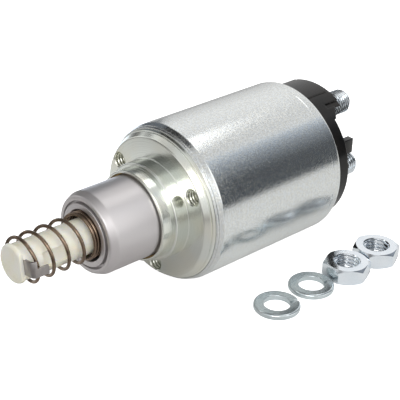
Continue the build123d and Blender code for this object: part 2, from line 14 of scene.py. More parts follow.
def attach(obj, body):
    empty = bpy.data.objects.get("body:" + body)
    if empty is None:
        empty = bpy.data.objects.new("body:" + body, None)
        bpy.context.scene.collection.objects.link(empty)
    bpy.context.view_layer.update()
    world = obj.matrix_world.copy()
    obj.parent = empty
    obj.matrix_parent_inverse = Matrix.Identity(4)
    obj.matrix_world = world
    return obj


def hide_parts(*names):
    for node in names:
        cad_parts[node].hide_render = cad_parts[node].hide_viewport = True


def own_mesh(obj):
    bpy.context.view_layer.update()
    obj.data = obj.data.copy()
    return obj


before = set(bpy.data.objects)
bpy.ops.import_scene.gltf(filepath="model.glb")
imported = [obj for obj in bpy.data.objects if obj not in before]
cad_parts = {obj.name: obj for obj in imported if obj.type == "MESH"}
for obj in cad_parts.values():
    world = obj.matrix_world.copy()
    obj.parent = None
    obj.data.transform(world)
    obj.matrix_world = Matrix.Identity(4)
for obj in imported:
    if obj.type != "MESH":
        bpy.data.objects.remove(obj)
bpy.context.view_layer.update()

LOG = logging.getLogger("solenoid")
MM = 0.001
WELD = 2e-6
KNEE = 0.3  # where the middle point of a rounded rim lies, as a share of its rounding
OVERCUT = 1.0  # how far a cutter reaches past what it cuts, in mm
SINK = 0.01  # how far a thread's foot lies inside its wall, in mm
SUPPORT_SHARE, SUPPORT_MOST = 0.25, 0.12  # how far beside an arc a point is added: share of its radius, and mm
MIX_COLOURS, MIX_RESULT = (6, 7), 2  # the Mix node's sockets for colours
Colour = tuple[float, float, float]
Corner = tuple[float, float, float]


# Node graphs


class Way(Enum):
    """The two ways that a node group's sockets face."""

    IN = "INPUT"
    OUT = "OUTPUT"


class Value:
    """A node's output, whose arithmetic adds Math nodes to its graph."""

    def __init__(self, graph: "Graph", socket: bpy.types.NodeSocket) -> None:
        """Keeps the output and its graph."""
        self.graph, self.socket = graph, socket

    def __add__(self, other: Any) -> "Value":
        """Adds another value."""
        return self.graph.math("ADD", self, other)

    def __sub__(self, other: Any) -> "Value":
        """Takes another value away."""
        return self.graph.math("SUBTRACT", self, other)

    def __rsub__(self, other: float) -> "Value":
        """Takes this value away from a number."""
        return self.graph.math("SUBTRACT", other, self)

    def __mul__(self, other: Any) -> "Value":
        """Multiplies by another value."""
        return self.graph.math("MULTIPLY", self, other)

    def __truediv__(self, other: Any) -> "Value":
        """Divides by another value."""
        return self.graph.math("DIVIDE", self, other)


class Graph:
    """Adds nodes to a node tree, with each input given as a plain value or as another node's output."""

    def __init__(self, tree: bpy.types.NodeTree) -> None:
        """Keeps the tree that nodes are added to."""
        self.tree = tree

    @classmethod
    def within(cls, block: bpy.types.ID) -> "Graph":
        """Empties the node tree of a material or a world and opens it."""
        block.use_nodes = True
        block.node_tree.nodes.clear()
        return cls(block.node_tree)

    def add(self, kind: str, inputs: Mapping[Any, Any] | None = None, **settings: Any) -> bpy.types.Node:
        """Adds one node.

        Args:
            kind: the node's type name.
            inputs: what goes into its inputs, by name or number.
            **settings: the node's own properties.

        Returns:
            The new node.
        """
        node = self.tree.nodes.new(kind)
        for key, value in settings.items():
            setattr(node, key, value)
        for key, value in (inputs or {}).items():
            if isinstance(value, Value):
                self.tree.links.new(value.socket, node.inputs[key])
            else:
                node.inputs[key].default_value = value
        return node

    def value(
        self, kind: str, inputs: Mapping[Any, Any] | None = None, output: int | str = 0, **settings: Any
    ) -> Value:
        """Adds one node and takes one of its outputs.

        Args:
            kind: the node's type name.
            inputs: what goes into its inputs, by name or number.
            output: the output's name or number.
            **settings: the node's own properties.

        Returns:
            The output.
        """
        return Value(self, self.add(kind, inputs, **settings).outputs[output])

    def math(self, operation: str, *values: Any, clamp: bool = False) -> Value:
        """Adds a Math node for an operation on one to three values, and may hold its result from 0 to 1."""
        return self.value("ShaderNodeMath", dict(enumerate(values)), operation=operation, use_clamp=clamp)

    def split(self, vector: Value) -> list[Value]:
        """Splits a vector into its three coordinates."""
        return [Value(self, output) for output in self.add("ShaderNodeSeparateXYZ", {0: vector}).outputs]

    def ramp(self, value: Value, low: float, high: float, to_low: Any = 0.0, to_high: Any = 1.0) -> Value:
        """Maps a value smoothly from one range to another and holds it at both ends.

        Args:
            value: the value that is mapped.
            low: where the range starts.
            high: where the range ends.
            to_low: the result at the start.
            to_high: the result at the end.

        Returns:
            The result.
        """
        given = dict(enumerate((value, low, high, to_low, to_high)))
        return self.value("ShaderNodeMapRange", given, interpolation_type="SMOOTHSTEP")

    def blend(self, share: Value, first: Any, second: Any) -> Value:
        """Mixes two colours.

        Args:
            share: how much of the second shows.
            first: the first colour.
            second: the second colour.

        Returns:
            The mixed colour.
        """
        given = {0: share}
        for number, colour in zip(MIX_COLOURS, (first, second)):
            given[number] = colour if isinstance(colour, Value) else (*colour, 1.0)
        return self.value("ShaderNodeMix", given, MIX_RESULT, data_type="RGBA")


def open_group(
    name: str, kind: str, inputs: Mapping[str, str], outputs: Mapping[str, str]
) -> tuple[Graph, dict[str, Value]]:
    """Opens a new node group with named inputs and outputs.

    Args:
        name: the group's name.
        kind: the type name of its tree.
        inputs: socket kind by name.
        outputs: socket kind by name.

    Returns:
        The group's graph, and what goes into the group by name.
    """
    tree = bpy.data.node_groups.new(name, kind)
    for way, sockets in ((Way.IN, inputs), (Way.OUT, outputs)):
        for label, socket in sockets.items():
            tree.interface.new_socket(label, in_out=way.value, socket_type=f"NodeSocket{socket}")
    graph = Graph(tree)
    return graph, {socket.name: Value(graph, socket) for socket in graph.add("NodeGroupInput").outputs}


# Shared surface effects


def surface_group() -> bpy.types.NodeTree:
    """Builds the shared group of a worked surface: broad patches, fine grain and the rings of a lathe.

    Returns:
        The shader node group.
    """
    sizes = dict.fromkeys(("Patch Size", "Grain Size", "Ring Size"), "Float")
    effects = dict.fromkeys(("Patch", "Grain", "Rings"), "Float")
    graph, given = open_group("worked_surface", "ShaderNodeTree", {"Vector": "Vector", **sizes}, effects)
    millimetres = graph.value("ShaderNodeVectorMath", {0: given["Vector"], "Scale": 1 / MM}, operation="SCALE")
    made = {}
    for name, detail, roughness, low, high in (("Patch", 3.0, 0.5, 0.36, 0.64), ("Grain", 2.0, 0.6, 0.3, 0.7)):
        scale = graph.math("DIVIDE", 1.0, given[name + " Size"])
        shape = {"Vector": millimetres, "Scale": scale, "Detail": detail, "Roughness": roughness}
        made[name] = graph.ramp(graph.value("ShaderNodeTexNoise", shape), low, high)
    x, y, z = graph.split(millimetres)
    radius = graph.math("SQRT", graph.math("POWER", y, 2.0) + graph.math("POWER", z, 2.0))
    shape = {"W": (x + radius) / given["Ring Size"], "Scale": 1.0, "Detail": 3.0, "Roughness": 0.6}
    made["Rings"] = graph.ramp(graph.value("ShaderNodeTexNoise", shape, noise_dimensions="1D"), 0.3, 0.7)
    graph.add("NodeGroupOutput", made)
    return graph.tree


def edge_highlight_group() -> bpy.types.NodeTree:
    """Builds the shared group that finds edges for a painted highlight, from how far a rounded normal leans from the
    true one.

    Returns:
        The shader node group.
    """
    graph, given = open_group("painted_edge_highlight", "ShaderNodeTree", {"Reach": "Float"}, {"Edge": "Float"})
    softened = graph.value("ShaderNodeBevel", {"Radius": given["Reach"]}, samples=4)
    flat = graph.value("ShaderNodeNewGeometry", output="True Normal")
    facing = graph.value("ShaderNodeVectorMath", {0: softened, 1: flat}, "Value", operation="DOT_PRODUCT")
    graph.add("NodeGroupOutput", {"Edge": graph.ramp(facing, 0.99, 0.8)})
    return graph.tree


# The edges group marks edges, which finishes lighten as a painted highlight.
GROUPS = {"surface": surface_group(), "edges": edge_highlight_group()}


@dataclass(frozen=True)
class Finish:
    """How one kind of surface looks: its two tones, gloss, grain, lathe rings and a painted highlight on its edges."""

    name: str
    base: Colour
    tint: Colour
    roughness: float
    roughness_span: float = 0.08
    metallic: float = 1.0
    patch_mm: float = 14.0
    grain_mm: float = 0.45
    grain_height_mm: float = 0.004
    grain_shade: float = 0.0
    ring_mm: float = 0.35
    ring_height_mm: float = 0.0
    ring_shade: float = 0.0
    # The edge tone and its reach paint a lighter highlight along edges.
    edge_highlight_tone: Colour | None = None
    edge_highlight_reach_mm: float = 0.35
    specular: float = 0.5
    subsurface: float = 0.0
    subsurface_mm: float = 1.5
    subsurface_spread: Colour = (1.0, 0.8, 0.5)

    def material(self) -> bpy.types.Material:
        """Builds the material, or gives the one that was built before.

        Returns:
            The finish as a Blender material.
        """
        known = bpy.data.materials.get(self.name)
        if known is not None:
            return known
        material = bpy.data.materials.new(self.name)
        graph = Graph.within(material)
        sizes = {"Patch Size": self.patch_mm, "Grain Size": self.grain_mm, "Ring Size": self.ring_mm}
        place = graph.value("ShaderNodeTexCoord", output="Object")
        worked = graph.add("ShaderNodeGroup", {"Vector": place, **sizes}, node_tree=GROUPS["surface"])
        patch, grain, rings = (Value(graph, output) for output in worked.outputs)
        shade = (grain - 0.5) * self.grain_shade + (rings - 0.5) * self.ring_shade
        toned = {"Color": graph.blend(patch, self.base, self.tint), "Value": shade + 1.0}
        colour = graph.value("ShaderNodeHueSaturation", toned)
        # Edges blend towards a lighter tone: a painted highlight.
        if self.edge_highlight_tone is not None:
            edge = graph.value("ShaderNodeGroup", {"Reach": self.edge_highlight_reach_mm * MM}, node_tree=GROUPS["edges"])
            colour = graph.blend(edge, colour, self.edge_highlight_tone)
        rough = (grain + patch) * 0.5 * self.roughness_span + (self.roughness - self.roughness_span / 2)
        height = grain * (self.grain_height_mm * MM) + rings * (self.ring_height_mm * MM)
        look = {
            "Base Color": colour, "Roughness": rough, "Metallic": self.metallic, "Specular IOR Level": self.specular,
            "Normal": graph.value("ShaderNodeBump", {"Strength": 1.0, "Distance": 1.0, "Height": height}),
        }
        if self.subsurface:
            look |= {
                "Subsurface Weight": self.subsurface, "Subsurface Radius": self.subsurface_spread,
                "Subsurface Scale": self.subsurface_mm * MM,
            }
        graph.add("ShaderNodeOutputMaterial", {"Surface": graph.value("ShaderNodeBsdfPrincipled", look)})
        return material


ZINC_CAN = Finish(
    "can_zinc", (0.76, 0.79, 0.80), (0.78, 0.79, 0.76), 0.2, 0.12, patch_mm=0.9, grain_mm=0.6,
    grain_height_mm=0.0092, grain_shade=0.22, ring_mm=1.4, ring_height_mm=0.001, ring_shade=0.03,
)
ZINC_FACE = Finish(
    "face_zinc", (0.84, 0.87, 0.82), (0.86, 0.86, 0.77), 0.21, grain_mm=0.5, grain_height_mm=0.001, grain_shade=0.03,
    ring_mm=0.5, ring_height_mm=0.004, ring_shade=0.07,
)
GROUND_STEEL = Finish(
    "ground_steel", (0.57, 0.53, 0.53), (0.54, 0.52, 0.525), 0.07, 0.04, grain_mm=0.35, grain_height_mm=0.002,
    grain_shade=0.04, ring_mm=0.3, ring_height_mm=0.004, ring_shade=0.1,
)
CORE_IRON = Finish(
    "core_iron", (0.50, 0.50, 0.50), (0.44, 0.43, 0.42), 0.38, ring_mm=0.5, ring_height_mm=0.006, ring_shade=0.12,
)
# Brass toned dark: partly the brass's own colour, partly painted shade for the gap round the plunger.
SHADED_BRASS = Finish(
    "drawn_brass_shaded", (0.42, 0.29, 0.13), (0.34, 0.23, 0.11), 0.3, ring_mm=0.8, ring_height_mm=0.003, ring_shade=0.08,
)
COPPER = Finish(
    "contact_copper", (0.76, 0.42, 0.28), (0.66, 0.36, 0.25), 0.26, grain_height_mm=0.003, ring_height_mm=0.003,
    ring_shade=0.05,
)
WINDING = Finish(
    "winding_wire", (0.50, 0.20, 0.09), (0.42, 0.16, 0.07), 0.34, ring_mm=0.9, ring_height_mm=0.2, ring_shade=0.4,
)
# Its lighter edge tone is a painted highlight on the moulding's edges.
BLACK_PLASTIC = Finish(
    "black_moulding", (0.006, 0.006, 0.006), (0.012, 0.010, 0.009), 0.2, metallic=0.0, specular=0.33, patch_mm=9.0,
    grain_mm=0.3, grain_height_mm=0.004, edge_highlight_tone=(0.06, 0.057, 0.054), edge_highlight_reach_mm=0.3,
)
IVORY_PLASTIC = Finish(
    "ivory_moulding", (0.96, 0.92, 0.76), (0.97, 0.95, 0.85), 0.3, metallic=0.0, patch_mm=6.0, grain_mm=0.3,
    grain_height_mm=0.003, subsurface=0.25,
)
BOBBIN_PLASTIC = Finish(
    "bobbin_moulding", (0.06, 0.05, 0.045), (0.09, 0.075, 0.06), 0.45, metallic=0.0, grain_height_mm=0.006,
)
WRAP_PAPER = Finish(
    "varnished_paper", (0.42, 0.31, 0.18), (0.36, 0.25, 0.13), 0.55, metallic=0.0, grain_mm=0.25, grain_shade=0.3,
    grain_height_mm=0.01,
)
RUBBER = Finish(
    "moulded_rubber", (0.02, 0.02, 0.02), (0.03, 0.03, 0.03), 0.6, metallic=0.0, grain_height_mm=0.008,
)
SPRING_BRONZE = Finish(
    "oiled_spring_wire", (0.30, 0.22, 0.16), (0.20, 0.15, 0.11), 0.16, patch_mm=3.0, grain_mm=0.2,
    grain_height_mm=0.003, grain_shade=0.2,
)
SPRING_STEEL = Finish("bright_spring_wire", (0.50, 0.50, 0.50), (0.42, 0.41, 0.40), 0.3, patch_mm=3.0, grain_mm=0.2)
# Its lighter edge tone is a painted highlight on the strip's edges.
CLIP_STEEL = Finish(
    "stamped_strip", (0.50, 0.47, 0.45), (0.42, 0.40, 0.39), 0.33, patch_mm=4.0, grain_mm=0.3, grain_height_mm=0.004,
    grain_shade=0.1, edge_highlight_tone=(0.72, 0.70, 0.68), edge_highlight_reach_mm=0.2,
)
# Its lighter edge tone is a painted highlight on the edges.
ZINC_BRIGHT = Finish(
    "bright_zinc", (0.84, 0.88, 0.92), (0.80, 0.85, 0.90), 0.13, patch_mm=5.0, grain_mm=0.3, grain_height_mm=0.003,
    grain_shade=0.05, edge_highlight_tone=(0.88, 0.90, 0.92), edge_highlight_reach_mm=0.2,
)
# Its near-white edge tone is a painted highlight on the washers' rims.
ZINC_WASHER = Finish(
    "washer_zinc", (0.62, 0.68, 0.70), (0.68, 0.74, 0.76), 0.18, patch_mm=4.0, grain_mm=0.3, grain_height_mm=0.0015,
    grain_shade=0.04, edge_highlight_tone=(0.95, 0.97, 0.98), edge_highlight_reach_mm=0.3,
)
ZINC_STUD = Finish(
    "stud_zinc", (0.88, 0.92, 0.95), (0.84, 0.89, 0.93), 0.2, patch_mm=4.0, grain_mm=0.3, grain_height_mm=0.003,
    grain_shade=0.05,
)


# Meshes


def grid_faces(rows: int, columns: int, closed: bool) -> list[tuple[int, ...]]:
    """Lists the quads between rings of points.

    Args:
        rows: how many rings there are.
        columns: how many points each ring has.
        closed: whether the last ring joins the first.

    Returns:
        Four point numbers for each quad.
    """
    faces = []
    for i in range(rows if closed else rows - 1):
        for j in range(columns):
            k, m = (i + 1) % rows, (j + 1) % columns
            faces.append((i * columns + j, k * columns + j, k * columns + m, i * columns + m))
    return faces


def tube_faces(rows: int, columns: int) -> list[tuple[int, ...]]:
    """Lists the quads between rings of points, and a cap on both end rings.

    Args:
        rows: how many rings there are.
        columns: how many points each ring has.

    Returns:
        The point numbers for each face.
    """
    last = (rows - 1) * columns
    caps = [tuple(range(columns)), tuple(range(last + columns - 1, last - 1, -1))]
    return grid_faces(rows, columns, False) + caps


def rectangle(low: Sequence[float], high: Sequence[float], radius: float) -> list[Corner]:
    """Gives the corners of a rectangle, all with one rounding.

    Args:
        low: its lowest corner.
        high: its highest corner.
        radius: the rounding.

    Returns:
        The four corners in order.
    """
    return [(u, v, radius) for u, v in ((low[0], low[1]), (high[0], low[1]), (high[0], high[1]), (low[0], high[1]))]


def rounded(corners: Sequence[Corner], steps: int = 4) -> np.ndarray:
    """Rounds the corners of a closed outline and adds a point beside each arc, so that flats shade flat.

    Args:
        corners: first coordinate, second coordinate and radius of each corner.
        steps: how many segments each arc has.

    Returns:
        The outline's points, one row each.
    """
    points: list[np.ndarray] = []
    count = len(corners)
    for i, (u, v, radius) in enumerate(corners):
        here = np.array((u, v))
        before = np.array(corners[i - 1][:2]) - here
        after = np.array(corners[(i + 1) % count][:2]) - here
        if radius <= 0:
            points.append(here)
            continue
        before /= np.linalg.norm(before)
        after /= np.linalg.norm(after)
        half = math.acos(float(np.clip(before @ after, -1, 1))) / 2
        reach = radius / math.tan(half)
        start, end = here + before * reach, here + after * reach
        middle = here + (before + after) / np.linalg.norm(before + after) * (radius / math.sin(half))
        first, last = start - middle, end - middle
        turn = math.atan2(first[0] * last[1] - first[1] * last[0], first @ last)
        support = min(SUPPORT_SHARE * radius, SUPPORT_MOST)
        points.append(start + before * support)
        for step in range(steps + 1):
            angle = turn * step / steps
            rotate = np.array(((math.cos(angle), -math.sin(angle)), (math.sin(angle), math.cos(angle))))
            points.append(middle + rotate @ first)
        points.append(end + after * support)
    return np.array(points)


def mesh_of(name: str, points: np.ndarray, faces: Iterable[Sequence[int]], weld: bool = False) -> bpy.types.Mesh:
    """Makes a mesh from millimetre points, with its faces turned outwards.

    Args:
        name: the mesh's name.
        points: the points, one row each, in millimetres.
        faces: point numbers for each face.
        weld: whether points that coincide are merged first.

    Returns:
        The mesh, in metres.
    """
    mesh = bpy.data.meshes.new(name)
    mesh.from_pydata((np.asarray(points, float) * MM).tolist(), [], [tuple(f) for f in faces])
    built = bmesh.new()
    built.from_mesh(mesh)
    if weld:
        bmesh.ops.remove_doubles(built, verts=built.verts, dist=WELD)
        bmesh.ops.dissolve_degenerate(built, edges=built.edges, dist=WELD / 4)
        loose = [edge for edge in built.edges if not edge.link_faces]
        bmesh.ops.delete(built, geom=loose, context="EDGES")
    bmesh.ops.recalc_face_normals(built, faces=built.faces)
    built.to_mesh(mesh)
    built.free()
    return mesh


def lathe(
    name: str, corners: Sequence[Corner], segments: int = 192, steps: int = 4, centre: tuple[float, float] = (0, 0)
) -> bpy.types.Mesh:
    """Turns a closed outline of stations and radii about an axis along X.

    Args:
        name: the mesh's name.
        corners: station, radius and rounding of each corner, in millimetres.
        segments: how many steps the turn has.
        steps: how many segments each rounded corner has.
        centre: where the axis is in Y and Z.

    Returns:
        The closed mesh.
    """
    outline = rounded(corners, steps)
    angles = np.arange(segments) * 2 * math.pi / segments
    points = np.empty((len(outline), segments, 3))
    points[:, :, 0] = outline[:, 0, None]
    points[:, :, 1] = centre[0] + outline[:, 1, None] * np.cos(angles)
    points[:, :, 2] = centre[1] + outline[:, 1, None] * np.sin(angles)
    return mesh_of(name, points.reshape(-1, 3), grid_faces(len(outline), segments, True), weld=True)


def slab(
    name: str, corners: Sequence[Corner], low: float, high: float, edge: float, axes: Sequence[Sequence[float]],
    steps: int = 4,
) -> bpy.types.Mesh:
    """Raises a closed outline to a block whose two rims are rounded.

    Args:
        name: the mesh's name.
        corners: first coordinate, second coordinate and rounding of each corner.
        low: where the block starts along the third axis.
        high: where it ends.
        edge: how far in the rims are rounded.
        axes: the directions of the three coordinates.
        steps: how many segments each rounded corner has.

    Returns:
        The closed mesh.
    """
    outline = rounded(corners, steps)
    along = np.roll(outline, -1, 0) - np.roll(outline, 1, 0)
    outward = np.column_stack((along[:, 1], -along[:, 0])) / np.linalg.norm(along, axis=1)[:, None]
    following = np.roll(outline, -1, 0)
    if np.sum(outline[:, 0] * following[:, 1] - following[:, 0] * outline[:, 1]) < 0:
        outward = -outward
    first, second, third = (np.array(axis, float) for axis in axes)
    rim = ((edge, 0.0), (KNEE * edge, KNEE * edge), (0.0, edge))
    levels = [(inset, low + rise) for inset, rise in rim] + [(inset, high - rise) for inset, rise in reversed(rim)]
    rings = []
    for inset, level in levels:
        flat = outline - outward * inset
        rings.append(flat[:, :1] * first + flat[:, 1:] * second + level * third)
    return mesh_of(name, np.concatenate(rings), tube_faces(len(rings), len(outline)))


def sector(
    name: str, front_x: float, rear_x: tuple[float, float], radii: tuple[float, float], degrees: tuple[float, float],
    edge: float,
) -> bpy.types.Mesh:
    """Builds a wall that follows part of the cap's rim, with all its edges rounded.

    Args:
        name: the mesh's name.
        front_x: where the wall starts along the axis.
        rear_x: where it ends along the axis, at its first and at its last angle.
        radii: its inner and outer radius.
        degrees: its first and last angle, from +Y towards +Z.
        edge: how far in its edges are rounded.

    Returns:
        The closed mesh.
    """
    station_deg, profile_share = 1.2, 0.8
    inner_r, outer_r = radii
    first, last = (math.radians(value) for value in degrees)
    lead = edge / outer_r
    inner_stations = np.linspace(first + lead, last - lead, max(2, int((degrees[1] - degrees[0]) / station_deg)))
    stations = [(first, edge), (first + KNEE * lead, KNEE * edge), *((a, 0.0) for a in inner_stations)]
    stations += [(last - KNEE * lead, KNEE * edge), (last, edge)]
    rows = []
    for angle, inset in stations:
        rear = rear_x[0] + (rear_x[1] - rear_x[0]) * (angle - first) / (last - first)
        corners = rectangle((front_x + inset, inner_r + inset), (rear - inset, outer_r - inset), edge * profile_share)
        profile = rounded(corners, 3)
        rows.append(np.column_stack((profile[:, 0], profile[:, 1] * math.cos(angle), profile[:, 1] * math.sin(angle))))
    return mesh_of(name, np.concatenate(rows), tube_faces(len(rows), len(rows[0])))


def joined(name: str, meshes: Sequence[bpy.types.Mesh]) -> bpy.types.Mesh:
    """Puts several meshes in one.

    Args:
        name: the new mesh's name.
        meshes: the meshes, which are removed.

    Returns:
        The mesh that holds them all.
    """
    built = bmesh.new()
    for mesh in meshes:
        built.from_mesh(mesh)
    whole = bpy.data.meshes.new(name)
    built.to_mesh(whole)
    built.free()
    for mesh in meshes:
        bpy.data.meshes.remove(mesh)
    return whole


def put(name: str, data: bpy.types.ID) -> bpy.types.Object:
    """Makes an object of a data block and links it to the scene.

    Args:
        name: the object's name.
        data: its data block.

    Returns:
        The object.
    """
    made = bpy.data.objects.new(name, data)
    bpy.context.scene.collection.objects.link(made)
    return made


def settled(host: bpy.types.Object) -> bpy.types.Mesh:
    """Takes an object's mesh as its modifiers leave it.

    Args:
        host: the object, which is removed with its own mesh.

    Returns:
        The resulting mesh.
    """
    done = bpy.data.meshes.new_from_object(host.evaluated_get(bpy.context.evaluated_depsgraph_get()))
    own = host.data
    bpy.data.objects.remove(host)
    bpy.data.meshes.remove(own)
    return done


def modified(mesh: bpy.types.Mesh, kinds: Sequence[tuple[str, Mapping[str, Any]]]) -> bpy.types.Mesh:
    """Applies modifiers to a mesh.

    Args:
        mesh: the mesh, which is removed.
        kinds: each modifier's type name and settings, in order.

    Returns:
        The resulting mesh.
    """
    host = put(mesh.name, mesh)
    for kind, settings in kinds:
        modifier = host.modifiers.new(kind.lower(), kind)
        for key, value in settings.items():
            setattr(modifier, key, value)
    return settled(host)


def grown(name: str, tree: bpy.types.NodeTree, values: Mapping[str, Any]) -> bpy.types.Mesh:
    """Runs a Geometry Nodes tree and keeps its result as a plain mesh.

    Args:
        name: the mesh's name.
        tree: the Geometry Nodes tree.
        values: its inputs, by their names.

    Returns:
        The mesh that it makes.
    """
    host = put(name, bpy.data.meshes.new(name))
    modifier = host.modifiers.new("grown", "NODES")
    modifier.node_group = tree
    for item in tree.interface.items_tree:
        if item.in_out == Way.IN.value:
            modifier[item.identifier] = values[item.name]
    return settled(host)


def box(low: Sequence[float], high: Sequence[float], axes: Sequence[Sequence[float]]) -> bpy.types.Mesh:
    """Makes a plain box to cut with.

    Args:
        low: its lowest corner.
        high: its highest corner.
        axes: the directions of its three coordinates.

    Returns:
        The box's mesh.
    """
    corners = [(x, y, z) for z in (low[2], high[2]) for x, y, _ in rectangle(low, high, 0.0)]
    sides = [(i, (i + 1) % 4, (i + 1) % 4 + 4, i + 4) for i in range(4)]
    return mesh_of("box", np.array(corners) @ np.array(axes, float), [(3, 2, 1, 0), (4, 5, 6, 7), *sides])


def carved(mesh: bpy.types.Mesh, block: bpy.types.Mesh) -> bpy.types.Mesh:
    """Cuts one mesh's shape out of another.

    Args:
        mesh: the mesh that is cut, which is removed.
        block: the shape that is taken away, which is removed.

    Returns:
        The cut mesh.
    """
    cutter = put("cutter", block)
    done = modified(mesh, [("BOOLEAN", {"operation": "DIFFERENCE", "solver": "EXACT", "object": cutter})])
    bpy.data.objects.remove(cutter)
    bpy.data.meshes.remove(block)
    return done


def node_copy(node: str, round_mm: float) -> bpy.types.Mesh:
    """Copies a CAD node's mesh with its sharp edges rounded.

    Args:
        node: the CAD node.
        round_mm: how far in each edge is rounded, in millimetres.

    Returns:
        The rounded mesh.
    """
    flat_deg, sharp_deg = 0.6, 28.0
    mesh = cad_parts[node].data.copy()
    mesh.materials.clear()
    built = bmesh.new()
    built.from_mesh(mesh)
    bmesh.ops.remove_doubles(built, verts=built.verts, dist=WELD)
    bmesh.ops.dissolve_limit(built, angle_limit=math.radians(flat_deg), verts=built.verts, edges=built.edges)
    built.to_mesh(mesh)
    built.free()
    bevel = {
        "width": round_mm * MM, "segments": 2, "limit_method": "ANGLE", "angle_limit": math.radians(sharp_deg),
        "use_clamp_overlap": False, "harden_normals": True,
    }
    return modified(mesh, [("BEVEL", bevel), ("TRIANGULATE", {})])


def show(
    name: str, mesh: bpy.types.Mesh, finish: Finish, body: str, nodes: Sequence[str],
    sharp_deg: float = 32.0,
) -> bpy.types.Object:
    """Puts a finished mesh in the scene as a piece on its body.

    Args:
        name: the piece's name.
        mesh: its mesh, in place.
        finish: its finish.
        body: the CAD body that it rides on.
        nodes: the CAD nodes that it stands for.
        sharp_deg: the angle in degrees past which an edge shades sharp.

    Returns:
        The piece.
    """
    mesh.name = name
    mesh.materials.clear()
    mesh.materials.append(finish.material())
    mesh.shade_smooth()
    mesh.set_sharp_from_angle(angle=math.radians(sharp_deg))
    piece = put(name, mesh)
    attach(piece, body)
    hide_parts(*nodes)
    LOG.info("%s: %d faces on %s", name, len(mesh.polygons), body)
    return piece


# Geometry Nodes trees


def close_tree(graph: Graph, geometry: Value, material: Value) -> None:
    """Ends a Geometry Nodes tree in Realize Instances and Set Material.

    Args:
        graph: the tree's graph.
        geometry: the geometry that the tree has made.
        material: the input that holds the material.
    """
    real = graph.value("GeometryNodeRealizeInstances", {0: geometry})
    painted = graph.value("GeometryNodeSetMaterial", {"Geometry": real, "Material": material})
    graph.add("NodeGroupOutput", {0: painted})


def thread_tree() -> bpy.types.NodeTree:
    """Builds the tree of a screw thread: a closed sleeve about Z whose working side is a helical ridge.

    Returns:
        The Geometry Nodes tree.
    """
    sizes = ("Root Radius", "Crest Radius", "Back Radius", "Pitch", "Length", "Runout")
    inputs = {
        **dict.fromkeys(sizes, "Float"), "Around": "Int", "Along": "Int", "Place": "Vector", "Turn": "Rotation",
        "Material": "Material",
    }
    graph, given = open_group("screw_thread", "GeometryNodeTree", inputs, {"Geometry": "Geometry"})
    steepness, root_share = 1.35, 0.2
    length, root = given["Length"], given["Root Radius"]
    grid = {"Size X": 1.0, "Size Y": 1.0, "Vertices X": given["Along"] + 1.0, "Vertices Y": given["Around"] + 1.0}
    both = graph.add("GeometryNodeJoinGeometry")
    for helical in (True, False):
        x, y, _ = graph.split(graph.value("GeometryNodeInputPosition"))
        along, lap = (x + 0.5) * length, y + 0.5
        fade = graph.math("DIVIDE", graph.math("MINIMUM", along, length - along), given["Runout"], clamp=True)
        if helical:
            phase = graph.math("FRACT", along / given["Pitch"] - lap)
            ridge = graph.math("ABSOLUTE", phase * 2.0 - 1.0)
            fade = fade * graph.math("SUBTRACT", ridge * steepness, root_share, clamp=True)
        radius = (given["Crest Radius" if helical else "Back Radius"] - root) * fade + root
        angle = lap * (2 * math.pi)
        spot = {0: radius * graph.math("COSINE", angle), 1: radius * graph.math("SINE", angle), 2: along}
        sheet, bent = graph.value("GeometryNodeMeshGrid", grid), graph.value("ShaderNodeCombineXYZ", spot)
        wall = graph.value("GeometryNodeSetPosition", {"Geometry": sheet, "Position": bent})
        graph.tree.links.new(wall.socket, both.inputs[0])
    sleeve = {"Geometry": Value(graph, both.outputs[0]), "Distance": WELD}
    place = {
        "Geometry": graph.value("GeometryNodeMergeByDistance", sleeve), "Translation": given["Place"],
        "Rotation": given["Turn"],
    }
    close_tree(graph, graph.value("GeometryNodeTransform", place), given["Material"])
    return graph.tree


def spring_tree() -> bpy.types.NodeTree:
    """Builds the tree of a wound spring about X, with its turns close at both ends and open between.

    Returns:
        The Geometry Nodes tree.
    """
    sizes = (
        "Front", "Mean Radius", "Wire Radius", "First Turns", "Open Turns", "Last Turns", "Close Pitch", "Open Pitch",
        "Start Angle", "Rise",
    )
    inputs = {**dict.fromkeys(sizes, "Float"), "Steps": "Int", "Material": "Material"}
    graph, given = open_group("wound_spring", "GeometryNodeTree", inputs, {"Geometry": "Geometry"})
    first, free = given["First Turns"], given["Open Turns"]
    share = graph.value("GeometryNodeSplineParameter", output="Factor")
    wound = share * (first + free + given["Last Turns"])
    opened = graph.value("ShaderNodeMapRange", dict(enumerate((wound, first, first + free, 0.0, free))))
    extra = given["Open Pitch"] - given["Close Pitch"]
    angle = wound * (2 * math.pi) + given["Start Angle"]
    spot = {
        0: given["Front"] + (wound * given["Close Pitch"] + opened * extra),
        1: given["Mean Radius"] * graph.math("COSINE", angle),
        2: given["Mean Radius"] * graph.math("SINE", angle) + share * given["Rise"],
    }
    line = graph.value("GeometryNodeCurvePrimitiveLine", {"End": (1.0, 0.0, 0.0)})
    spaced = graph.value("GeometryNodeResampleCurve", {"Curve": line, "Count": given["Steps"]})
    coiled = {"Geometry": spaced, "Position": graph.value("ShaderNodeCombineXYZ", spot)}
    wire = graph.value("GeometryNodeCurvePrimitiveCircle", {"Resolution": 14, "Radius": given["Wire Radius"]})
    solid = {"Curve": graph.value("GeometryNodeSetPosition", coiled), "Profile Curve": wire, "Fill Caps": True}
    close_tree(graph, graph.value("GeometryNodeCurveToMesh", solid), given["Material"])
    return graph.tree


TREES = {"thread": thread_tree(), "spring": spring_tree()}


# Sub-assemblies


